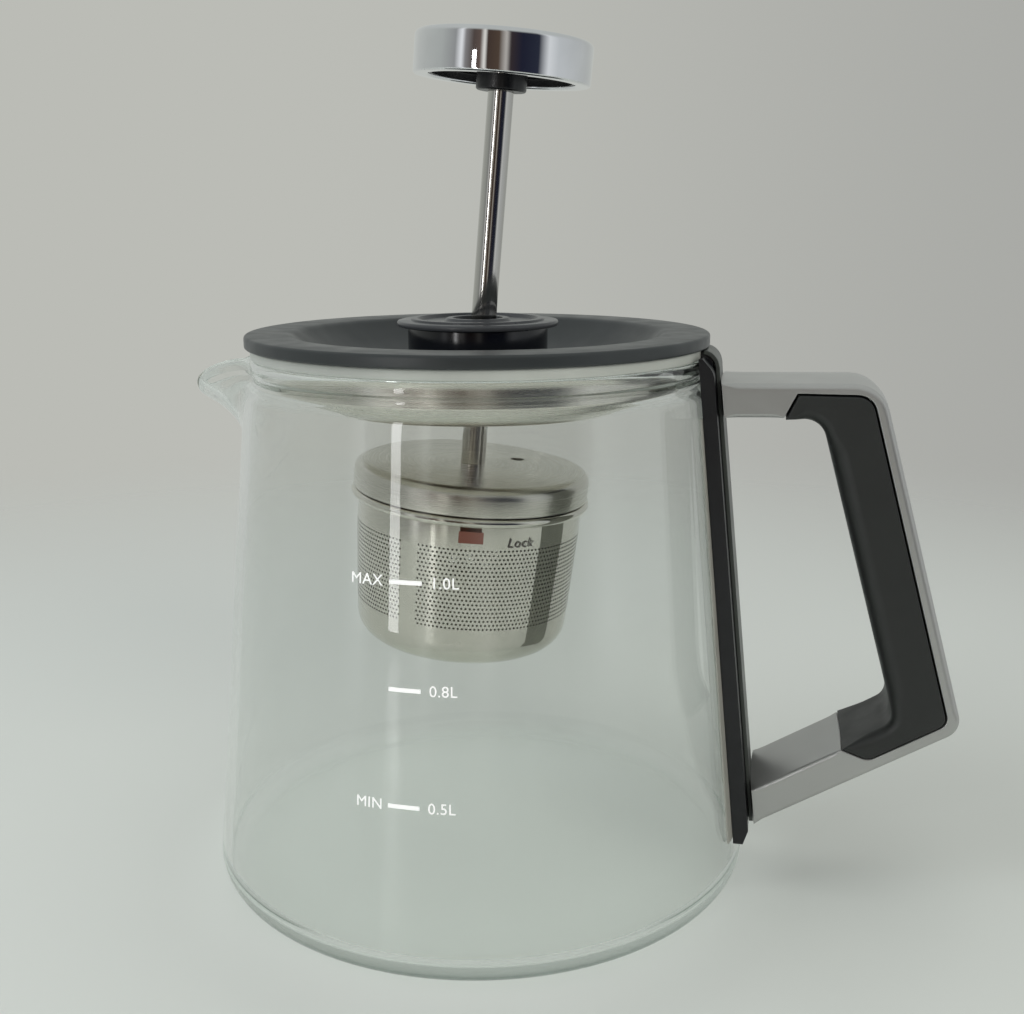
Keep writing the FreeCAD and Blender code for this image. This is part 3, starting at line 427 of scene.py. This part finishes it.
def make_glass():
    """The glass is a profile carried round the axis. Towards the spout each point slides from the plain
    profile to the spout's, as if the rim were pulled out. Its share is e to the minus of turn over width
    raised to a power. It goes down over a narrower turn than out, so the rim stays high beside the tip."""
    start = 90.0
    width_out, width_down = math.radians(14.0), math.radians(10.0)
    plain = [
        (side_at(100), 100), (side_at(107), 107), (side_at(113), 113), (side_at(118), 118),
        (SHOULDER - 0.4, 120.6), (NECK + 0.3, 122.6), (NECK + 0.15, NECK_HEIGHT + 0.3),
        (NECK + 0.85, 125.0), (NECK + 0.75, 126.6), (NECK - 0.3, RIM), (NECK - 1.5, 127.2), (NECK - WALL, 125.6),
        (NECK - WALL + 0.1, 123.4), (SHOULDER - WALL - 0.9, 121.2), (SHOULDER - WALL, 119.2),
        (side_at(113) - WALL, 113), (side_at(107) - WALL, 107), (side_at(100) - WALL, 100)]
    pulled = [
        (side_at(95) + 0.1, 95), (side_at(100) + 0.9, 100.3), (59.6, 105.2), (61.6, 108.9),
        (64.0, 111.6), (66.6, 113.6), (69.0, 115.0), (71.0, 116.2),
        (REACH - 0.1, 117.6), (REACH - 0.2, 118.7), (REACH - 1.0, 119.0), (69.6, 117.9),
        (67.0, 116.3), (64.0, 114.2), (60.8, 111.4), (58.0, 107.4), (side_at(101) - WALL + 0.9, 101),
        (side_at(95) - WALL + 0.1, 95)]
    upper = through([a + b for a, b in zip(plain, pulled)], 7)
    outer = rounded([(0, 0), (FOOT, 0, 6), (side_at(start), start)], 14, closed=False)
    inner = rounded([(side_at(start) - WALL, start), (side_at(FLOOR_THICK) - WALL, FLOOR_THICK, 4.5),
                     (0, FLOOR_THICK)], 12, closed=False)
    lower = [np.hstack([part, part]) for part in (outer, inner)]
    both = np.vstack([lower[0], upper, lower[1]])
    even = np.linspace(-1, 1, 321)[:-1]
    turn = math.pi * (0.25 * even + 0.75 * even ** 3)
    out = np.exp(-(np.abs(turn) / width_out) ** 2.6)
    down = np.exp(-(np.abs(turn) / width_down) ** 2)
    r = both[:, 0][:, None] * (1 - out) + both[:, 2][:, None] * out
    z = both[:, 1][:, None] * (1 - down) + both[:, 3][:, None] * down
    points = np.stack([-r * np.cos(turn), -r * np.sin(turn), z], -1).reshape(-1, 3)
    faces = grid_faces(len(both), len(turn), False, True)
    return make_piece("jug_glass", [(points, faces)], "jug", GLASS, ["glass_jug"], sharp=60)


# White scale on the glass, left of the middle of the front: height, volume, limit
LETTER = 3.3
SCALE_TURN = math.radians(-90 - 1.5)
SCALE = ((87.6, "1.0L", "MAX"), (65.2, "0.8L", None), (40.3, "0.5L", "MIN"))


def words(text, size, spacing=1.0):
    """Mesh of flat letters, centred on their height: points in mm and faces."""
    font = bpy.data.curves.new("letters", "FONT")
    font.body = text
    font.size = size
    font.space_character = spacing
    font.align_y = "CENTER"
    font.extrude = 0.02
    holder = bpy.data.objects.new("letters", font)
    mesh = bpy.data.meshes.new_from_object(holder)
    points = np.array([corner.co for corner in mesh.vertices])
    faces = [list(face.vertices) for face in mesh.polygons]
    bpy.data.objects.remove(holder)
    bpy.data.meshes.remove(mesh)
    return points, faces


def block(left, right, low, high, thick=0.02):
    """A thin plate, cut along its length so that it can bend."""
    x = np.linspace(left, right, 9)
    ring = [(low, -thick), (high, -thick), (high, thick), (low, thick)]
    points = np.array([(spot, y, z) for spot in x for y, z in ring])
    faces = grid_faces(len(x), 4, False, True).tolist() + [[0, 1, 2, 3], [32, 33, 34, 35]]
    return points, faces


def make_scale():
    shapes = []
    for height, volume, limit in SCALE:
        parts = [block(-3.45, 3.45, -0.45, 0.45)]
        spots, faces = words(volume, LETTER, 1.05)
        parts.append((spots + (5.2, 0, 0), faces))
        if limit:
            spots, faces = words(limit, LETTER, 1.05)
            parts.append((spots - (spots[:, 0].max() + 4.9, 0, 0), faces))
        for spots, faces in parts:
            far = side_at(height + spots[:, 1]) + 0.045 + spots[:, 2]
            turn = SCALE_TURN + spots[:, 0] / side_at(height)
            bent = np.stack([far * np.cos(turn), far * np.sin(turn), height + spots[:, 1]], -1)
            shapes.append((bent, faces))
    return make_piece("volume_scale", shapes, "jug", PRINT_PAINTED_GLOW)


# Handle and the strip that it's screwed to
STRIP_TOP, STRAP = 128.9, 1.0


def strip_back(height):
    """Distance of the strip's back from the axis: it follows the glass and thickens a little downwards."""
    return side_at(height) + 1.85 + 0.008 * (STRIP_TOP - height)


def make_handle():
    """Silver frame and dark grip: flat shapes with rounded edges. The leg leans, the lower arm falls."""
    reach, corner_height, top, lean = 116.0, 44.7, 124.3, 22.5
    depth, band, arm_depth, low_depth, foot_height = 15.3, 3.4, 8.7, 10.1, 16.4

    def back_of(height):
        return strip_back(height) + STRAP

    slope = lean / (top - corner_height)
    fall = (corner_height - foot_height) / (reach - back_of(foot_height))
    under = top - arm_depth

    def leg(height, inward):
        return reach - slope * (height - corner_height) - inward

    def arm(across, upward):
        return corner_height - fall * (reach - across) + upward

    seam = [(89.0, arm(89.0, low_depth)), (95.2, arm(95.2, 4.1)), (112.1, arm(112.1, 4.1)),
            (leg(121.1, band), 121.1), (75.3, 121.1), (72.6, under)]
    rounds = [0, 3.0, 2.6, 4.0, 0, 0]
    frame_line = [
        (back_of(foot_height), foot_height, 0, 1.2), (reach, corner_height, 5, 1.5),
        (reach - lean, top, 8.5, 1.5), (back_of(top - 0.7), top - 0.7, 0, 0.15),
        (back_of(under - 0.35), under - 0.35, 0, 1.0)]
    frame_line += [spot + (size, 0.25) for spot, size in zip(seam[::-1], rounds[::-1])]
    frame_line[-1] = seam[0] + (0, 1.0)
    frame_line.append((back_of(25.9), 25.9, 0, 0.15))
    silver = slab(frame_line, 11.7, 0.35)
    even_shade(make_piece("handle_silver", [silver], "jug", SATIN, ["handle_frame"], 40))

    gap = 0.08
    inner = reach - depth - 0.1
    fine, soft = 0.35, 2.6
    grip_line = [
        (seam[0][0] + 0.3, seam[0][1] - gap, 0, fine), (seam[1][0] + gap, seam[1][1] + gap, 3, fine),
        (seam[2][0] - gap, seam[2][1] + gap, 2.6, fine), (seam[3][0] - gap, seam[3][1] - gap, 4, fine),
        (seam[4][0] + gap, seam[4][1] - gap, 0, fine), (seam[5][0] + 0.2, seam[5][1], 0, soft),
        (leg(under, depth), under, 5, 4.2), (inner, arm(inner, low_depth), 4, soft)]
    grip = slab(grip_line, 12.0, turns=8)
    even_shade(make_piece("grip_dark", [grip], "jug", GRIP, ["grip_insert"], 40))


# Lid
def make_lid():
    _, flange, _, top = measure("lid_top")
    skirt, dish, floor, wall = 46.9, 44.0, 124.0, 2.2
    under = top - 2.9
    spigot = measure("lid_top")[0]
    arc = through([(dish, top - 0.3), (41.0, 130.2), (37.0, 127.4), (32.5, 125.4), (28.0, 124.4),
                   (24.0, floor)], 5)
    shell = np.vstack([
        rounded([(spigot, floor - wall), (24, floor - wall, 0), (34, 124.2, 8), (dish + 0.4, under, 1),
                 (skirt - 1.8, under, 0.5), (skirt - 1.8, 122.4, 0.3), (skirt, 122.4, 0.3),
                 (skirt, under, 0.2), (flange, under, 0.5), (flange, top, 0.7), (dish + 1.2, top)],
                5, closed=False),
        arc, [(spigot, floor)]])
    make_piece("lid_moulding", [turned(shell)], "lid", LID_GREY, ["lid_top"])

    inner, far, low, high = measure("lid_seal")
    lip = NECK - WALL - 0.35
    ring = rounded([(inner, low, 0.3), (lip, low, 0.6), (lip, RIM, 0.3), (far, RIM, 0.5),
                    (far, high, 0.5), (inner, high, 0.2)], 4)
    make_piece("seal_ring", [turned(ring)], "lid", SEAL, ["lid_seal"])

    hole, far, low, high = measure("inner_cover")
    sheet, curve = 0.6, 4.2
    pan = rounded([(hole, low), (far, low, curve), (far, high), (far - sheet, high),
                   (far - sheet, low + sheet, curve - sheet), (hole, low + sheet)], 10)
    make_piece("steel_pan", [turned(pan)], "lid", PAN, ["inner_cover"])

    bore, far, low, high = measure("collar_barrel")
    barrel = rounded([(bore, low), (12, low), (12, floor), (far, floor, 0.2), (far, high, 0.3),
                      (bore, high)], 3)
    make_piece("collar", [turned(barrel)], "lid", COLLAR, ["collar_barrel"])

    hole, far, low, high = measure("collar_cap")
    shelf = measure("collar_barrel")[3]
    plate = high - 0.5
    cap = rounded([(hole, low), (bore - 0.1, low), (bore - 0.1, shelf), (far, shelf, 0.5), (far, plate, 0.5),
                   (15.9, plate, 0.1), (15.9, high, 0.25), (14.4, high, 0.2), (13.8, plate - 0.3, 0.1),
                   (hole + 2, plate - 0.3, 0.1), (hole + 1.4, high, 0.2), (hole, high, 0.25)], 3)
    make_piece("collar_top", [turned(cap)], "lid", CAP_GREY, ["collar_cap"])


# Rod and knob
def make_rod():
    _, far, low, high = measure("plunger_rod", True)
    stud, seat = 1.9, measure("basket_lid", True)[3] - 0.02
    bar = rounded([(0, low), (stud, low, 0.3), (stud, seat), (far, seat, 0.15), (far, high), (0, high)],
                  3, False)
    points, faces = turned(bar, closed=False, count=96)
    make_piece("rod", [(on_rod(points), faces)], "plunger", ROD_STEEL, ["plunger_rod"])

    _, far, low, high = measure("knob_shell", True)
    bore, roof = far - 3.5, high - 1.6
    shell = rounded([(0, roof), (bore, roof), (bore, low, 0.5), (far, low, 0.6), (far, high, 1.3),
                     (0, high)], 6, closed=False)
    points, faces = turned(shell, closed=False)
    make_piece("knob_ring", [(on_rod(points), faces)], "plunger", CHROME, ["knob_shell"])

    rim = low
    _, far, low, high = measure("knob_insert", True)
    hub, face, lining = 5.8, rim + 2.4, rim + 0.5
    insert = rounded([(3.0, low), (hub, low, 0.6), (hub, face, 0.6), (far - 0.8, face, 0.5),
                      (far - 0.8, lining), (far - 0.1, lining), (far - 0.1, high), (3.3, high),
                      (3.3, high - 0.6), (3.0, high - 0.6)], 5)
    points, faces = turned(insert, count=128)
    shapes = [(on_rod(points), faces)]
    make_piece("knob_face", shapes, "plunger", STRIP_BLACK, ["knob_insert"])


# Strainer
def make_strainer_lid():
    hole, far, low, high = measure("basket_lid", True)
    sheet, curve = 0.6, 2.6
    shell = rounded([(hole, high), (hole, high - sheet), (far - sheet, high - sheet, curve - sheet),
                     (far - sheet, low), (far, low, 0.15), (far, high, curve)], 8)
    points, faces = turned(shell)
    shapes = [(on_rod(points), faces)]
    lid = make_piece("strainer_lid", shapes, "plunger", LID_STEEL, ["basket_lid"])
    vent, offset, turn = 1.75, 13.6, math.radians(47.5)
    post = rounded([(0, high - 3), (vent, high - 3), (vent, high + 3), (0, high + 3)], closed=False)
    points, faces = turned(post, closed=False, count=48)
    points = points + (offset * math.cos(turn), offset * math.sin(turn), 0)
    drill = make_piece("vent_drill", [(on_rod(points), faces)], "plunger", LID_STEEL)
    cut = lid.modifiers.new("vent", "BOOLEAN")
    cut.operation = "DIFFERENCE"
    cut.object = drill
    cut.solver = "EXACT"
    bpy.context.view_layer.update()
    made = bpy.data.meshes.new_from_object(lid.evaluated_get(bpy.context.evaluated_depsgraph_get()))
    made.set_sharp_from_angle(angle=math.radians(32))
    lid.modifiers.clear()
    lid.data = made
    bpy.data.objects.remove(drill)


# Holes round and up, heights of their band, radius of a hole, middle radius of the wall, and the turns
# between which the wall is left plain
COLUMNS, ROWS = 172, 20
BAND_LOW, BAND_HIGH = -52.8, -32.5
HOLE, WALL_MIDDLE = 0.27, 27.0
PLAIN = ((-110.0, -100.5),)


def sieve(side, low, high):
    """Pierced wall as rows of square tiles, each with an eight-sided hole; every other row is moved by half
    a tile. side(height, depth) gives the radius. Returns points about the Z axis and faces."""
    pitch = 2 * math.pi / COLUMNS
    tall = (high - low) / ROWS
    rim = np.array([(0, 0), (0.5, 0), (1, 0), (1, 0.5), (1, 1), (0.5, 1), (0, 1), (0, 0.5)])
    way = rim - 0.5
    way /= np.linalg.norm(way, axis=1)[:, None]
    hole = way * HOLE * np.array([1 / (pitch * WALL_MIDDLE), 1 / tall]) + 0.5
    row, column = np.divmod(np.arange(ROWS * COLUMNS), COLUMNS)
    first = column + 0.5 * (row % 2)
    middle = np.degrees(first * pitch + pitch / 2)
    middle = (middle + 180) % 360 - 180
    solid = np.zeros(len(row), bool)
    for start, stop in PLAIN:
        solid |= (middle > start) & (middle < stop)
    points, faces = [], []

    def place(shape, depth, which):
        turn = (first[which][:, None] + shape[:, 0]) * pitch
        height = low + (row[which][:, None] + shape[:, 1]) * tall
        far = side(height, depth)
        return np.stack([far * np.cos(turn), far * np.sin(turn), height], -1).reshape(-1, 3)

    holed = ~solid
    tiles = int(holed.sum())
    for shape, depth in ((rim, 0), (hole, 0), (hole, 1), (rim, 1)):
        points.append(place(shape, depth, holed))
    k = np.arange(8)
    after = (k + 1) % 8
    base = (np.arange(tiles) * 8)[:, None]
    for ring in range(3):
        near, far = ring * tiles * 8, (ring + 1) * tiles * 8
        quads = np.stack([near + base + k, near + base + after, far + base + after, far + base + k], -1)
        faces += quads.reshape(-1, 4).tolist()
    count = 4 * tiles * 8
    for depth in (0, 1):
        points.append(place(rim, depth, solid))
        plain = count + (np.arange(int(solid.sum())) * 8)[:, None] + k
        faces += plain.tolist()
        count += int(solid.sum()) * 8
    return np.vstack(points), faces


def make_cup():
    """Pierced cup: a turned foot and rim on both sides of the pierced band, all one sheet."""
    _, _, low, high = measure("basket_cup", True)
    foot, mouth, depth, sheet, bead = 25.9, 27.9, 37.8, 0.6, 1.1

    def side(height, inside):
        return foot + (mouth - foot) * (height - low) / (depth - bead) - sheet * inside

    count = COLUMNS * 2
    bottom = rounded([(side(BAND_LOW, 0), BAND_LOW), (foot, low, 7), (0, low)], 12, closed=False)
    inside = rounded([(0, low + sheet), (foot - sheet, low + sheet, 6.4), (side(BAND_LOW, 1), BAND_LOW)],
                     12, closed=False)
    shapes = [turned(np.vstack([bottom, inside]), closed=False, count=count)]
    middle = high - bead
    turns = np.linspace(-2.3, 2.6, 17)
    roll = np.stack([mouth + 0.3 + bead * np.cos(turns), middle + bead * np.sin(turns)], -1)
    upper = np.vstack([[(side(BAND_HIGH, 0), BAND_HIGH)], roll,
                       [(side(middle, 1), middle), (side(BAND_HIGH, 1), BAND_HIGH)]])
    shapes.append(turned(upper, closed=False, count=count))
    shapes.append(sieve(side, BAND_LOW, BAND_HIGH))
    shapes = [(on_rod(points), faces) for points, faces in shapes]
    make_piece("strainer_cup", shapes, "basket", CUP_STEEL, ["basket_cup"])

    letters, faces = words("Lock", 3.1, 1.12)
    letters[:, 0] += 0.22 * letters[:, 1]
    tab, tab_faces = block(-2.8, 2.8, -1.35, 1.35, 0.12)
    marks = ((letters - (letters[:, 0].max() / 2, 0, 0), faces, -50.5, -31.1, mouth, "lock_mark", MARK),
             (tab, tab_faces, -75.5, -29.4, mouth + 1.5, "lock_tab", TAB))
    for spots, faces, middle, height, far, name, material in marks:
        reach = np.maximum(side(height + spots[:, 1], 0) + 0.04, far - 0.1) + spots[:, 2]
        turn = math.radians(middle) + spots[:, 0] / far
        bent = np.stack([reach * np.cos(turn), reach * np.sin(turn), height + spots[:, 1]], -1)
        make_piece(name, [(on_rod(bent), faces)], "basket", material)


# Strip, strap and the hood in which the strap ends under the lid's edge
def make_jug_side():
    soft_copy("mount_strip", "strip", 0.5, "jug", STRIP_BLACK)
    filler = [(53.4, 128.3, 0, 0.2), (56.4, 126.6, 0, 0.2), (56.2, 128.6, 0.8, 0.2),
              (54.6, 130.05, 0.5, 0.2), (53.4, 129.9, 0.3, 0.2)]
    make_piece("strip_head", [slab(filler, 6.6)], "jug", STRIP_BLACK)
    straight = [(strip_back(height) + STRAP, height) for height in np.linspace(15.4, 124.6, 12)]
    hood = [(57.75, 126.4), (57.2, 128.1), (56.2, 129.3), (55.1, 129.95), (54.1, 130.15)]
    outer = through(straight + hood, 4)
    way = np.gradient(outer, axis=0)
    way /= np.linalg.norm(way, axis=1)[:, None]
    inner = outer + np.stack([-way[:, 1], way[:, 0]], -1) * 0.95
    strap = [(*spot, 0, 0.2) for spot in outer] + [(*spot, 0, 0.2) for spot in inner[::-1]]
    strap = slab(strap, 7.0, turns=3)
    even_shade(make_piece("strap", [strap], "jug", HOOD, ["back_plate"], 40))


# Nodes that keep their own shape
def dress_nodes():
    kept = {
        "mount_pad": ("clear_bond", BOND), "handle_screws": ("plain_steel", PLAIN_STEEL),
        "collar_nut": ("blue_black", COLLAR), "guide_housing": ("black_plastic", STRIP_BLACK),
        "grip_ring": ("pale_silicone", SEAL), "knob_screw": ("plain_steel", PLAIN_STEEL),
        "lid_washer": ("plain_steel", PLAIN_STEEL), "lid_nut": ("plain_steel", PLAIN_STEEL),
        "bayonet_ring": ("mirror_cup", CUP_STEEL)}
    for node, (slot, material) in kept.items():
        holder = frame["nodes"][node]
        holder.data.materials.clear()
        holder.data.materials.append(material)


# Studio
BACKDROP = colour(187, 188, 182)
BACKDROP_RIGHT = colour(168, 169, 165)


def make_floor():
    """A wide pale table top that fades into the backdrop with the distance from the middle. Under the jug a
    little glow stands for the light that glass gathers."""
    points, faces = turned(np.array([(0.0, -0.3), (300.0, -0.3), (1500.0, -0.3)]), closed=False, count=64)
    mesh = bpy.data.meshes.new("table_top")
    mesh.from_pydata((points * MM).tolist(), [], faces.tolist())
    build = bmesh.new()
    build.from_mesh(mesh)
    bmesh.ops.remove_doubles(build, verts=build.verts, dist=1e-7)
    build.to_mesh(mesh)
    build.free()
    top = bpy.data.objects.new("table_top", mesh)
    bpy.context.scene.collection.objects.link(top)
    finish = Finish("table_white", colour(213, 218, 213), 0.36)
    own = finish.add("ShaderNodeTexCoord").outputs["Object"]
    far = finish.add("ShaderNodeVectorMath", {0: own}, operation="LENGTH").outputs["Value"]

    def eased(start, stop, low, high):
        """A smooth change from low to high between two distances in metres."""
        values = {"Value": far, "From Min": start, "From Max": stop, "To Min": low, "To Max": high}
        return finish.add("ShaderNodeMapRange", values, interpolation_type="SMOOTHSTEP").outputs["Result"]

    finish.shader.inputs["Emission Color"].default_value = colour(232, 238, 234)
    finish.feed(eased(0.045, 0.085, 0.15, 0), "Emission Strength")
    clear = finish.add("ShaderNodeBsdfTransparent")
    values = {"Fac": eased(0.2, 0.62, 0, 1), 1: finish.shader.outputs["BSDF"], 2: clear.outputs["BSDF"]}
    finish.show(finish.add("ShaderNodeMixShader", values).outputs["Shader"])
    mesh.materials.append(finish.material)


# What bare metal and glass mirror, by compass turn from the front: share of the way round, screen colour
PANORAMA = (
    (0.00, (192, 195, 190)), (0.12, (198, 201, 197)), (0.30, (176, 180, 177)), (0.36, (150, 152, 152)),
    (0.385, (238, 240, 242)), (0.40, (138, 136, 136)), (0.43, (84, 74, 70)), (0.455, (100, 86, 80)),
    (0.47, (240, 238, 232)), (0.48, (70, 58, 52)), (0.52, (84, 70, 60)), (0.545, (190, 186, 180)),
    (0.56, (58, 50, 52)), (0.60, (34, 36, 52)), (0.66, (44, 48, 62)), (0.70, (225, 228, 230)),
    (0.74, (200, 204, 206)), (0.90, (186, 189, 187)), (1.00, (192, 195, 190)))


def make_world():
    """Plain pale light for matt surfaces, a pale backdrop that darkens to the right, and a room for bare
    metal and glass. Rays that pass straight through the glass see the backdrop."""
    world = bpy.data.worlds.new("studio")
    bpy.context.scene.world = world
    world.use_nodes = True
    tree = world.node_tree
    tree.nodes.clear()

    def add(kind, values=None, **settings):
        return add_node(tree, kind, values, **settings)

    def calculate(operation, first, second):
        return add("ShaderNodeMath", {0: first, 1: second}, operation=operation).outputs["Value"]

    def eased(value, start, stop):
        values = {"Value": value, "From Min": start, "From Max": stop}
        return add("ShaderNodeMapRange", values, interpolation_type="SMOOTHSTEP").outputs["Result"]

    def blend(share, first, second):
        values = {"Factor": share, "A": first, "B": second}
        return add("ShaderNodeMix", values, data_type="RGBA").outputs["Result"]

    def choose(share, first, second):
        return add("ShaderNodeMixShader", {"Fac": share, 1: first, 2: second}).outputs["Shader"]

    path = add("ShaderNodeLightPath").outputs
    place = add("ShaderNodeTexCoord").outputs["Generated"]
    way = add("ShaderNodeSeparateXYZ", {"Vector": place}).outputs
    plain = add("ShaderNodeBackground", {"Color": colour(236, 238, 238), "Strength": 0.48})
    wall = blend(eased(way["X"], -0.4, 0.3), BACKDROP, BACKDROP_RIGHT)
    seen = add("ShaderNodeBackground", {"Color": wall})

    turn = calculate("ARCTAN2", way["X"], calculate("MULTIPLY", way["Y"], -1))
    values = {"Value": turn, "From Min": -math.pi, "From Max": math.pi}
    ramp = add("ShaderNodeValToRGB", {"Fac": add("ShaderNodeMapRange", values).outputs["Result"]})
    stops = ramp.color_ramp.elements
    for number, (where, tint) in enumerate(PANORAMA):
        stop = stops[number] if number < 2 else stops.new(where)
        stop.position = where
        stop.color = colour(*tint)
    around = blend(eased(way["Z"], 0.25, 0.75), ramp.outputs["Color"], colour(190, 194, 192))
    room = add("ShaderNodeBackground", {"Color": around})

    unmirrored = calculate("LESS_THAN", path["Glossy Depth"], 0.5)
    straight = calculate("MULTIPLY", path["Is Transmission Ray"], unmirrored)
    lit = choose(path["Is Glossy Ray"], plain.outputs["Background"], room.outputs["Background"])
    backdrop = calculate("MAXIMUM", path["Is Camera Ray"], straight)
    shown = choose(backdrop, lit, seen.outputs["Background"])
    add("ShaderNodeOutputWorld", {"Surface": shown})


def add_lamp(name, place, aim, size, power, tint):
    light = bpy.data.lights.new(name, "AREA")
    light.shape = "RECTANGLE"
    light.size, light.size_y = size
    light.energy = power
    light.color = colour(*tint)[:3]
    lamp = bpy.data.objects.new(name, light)
    bpy.context.scene.collection.objects.link(lamp)
    lamp.location = place
    lamp.rotation_euler = (Vector(aim) - Vector(place)).to_track_quat("-Z", "Y").to_euler()
    lamp.visible_glossy = False
    lamp.visible_transmission = False
    return lamp


def make_lights():
    middle = (0, 0, 0.09)
    add_lamp("window", (-0.75, -0.35, 0.75), middle, (0.6, 0.8), 4.1, (250, 252, 255))
    add_lamp("ceiling", (0.1, 0.1, 1.2), middle, (0.9, 0.9), 2.4, (255, 253, 248))
    add_lamp("fill", (0.8, -0.7, 0.5), middle, (0.5, 0.7), 4.2, (255, 250, 242))
    bar = add_lamp("tall_window", (-0.17, -0.42, 0.13), (0, 0, 0.06), (0.035, 0.24), 0.21, (255, 255, 255))
    bar.visible_glossy = True
    bar.visible_camera = False


def make_camera():
    """The photograph's eye: its place, its turn, its tilt below level and its roll."""
    camera = bpy.data.cameras.new("camera")
    camera.lens = 42.75
    camera.sensor_width = 36.0
    camera.sensor_fit = "HORIZONTAL"
    camera.clip_start = 0.01
    holder = bpy.data.objects.new("camera", camera)
    bpy.context.scene.collection.objects.link(holder)
    yaw, tilt, roll = (math.radians(angle) for angle in (11.94, 76.6, -0.21))
    turn = Matrix.Rotation(yaw, 4, "Z") @ Matrix.Rotation(tilt, 4, "X") @ Matrix.Rotation(roll, 4, "Z")
    holder.matrix_world = Matrix.Translation((0.0685, -0.2852, 0.1595)) @ turn
    bpy.context.scene.camera = holder


make_glass()
make_scale()
make_jug_side()
make_handle()
make_lid()
make_rod()
make_strainer_lid()
make_cup()
dress_nodes()
make_floor()
make_world()
make_lights()
make_camera()
bpy.context.scene.view_settings.view_transform = "Standard"
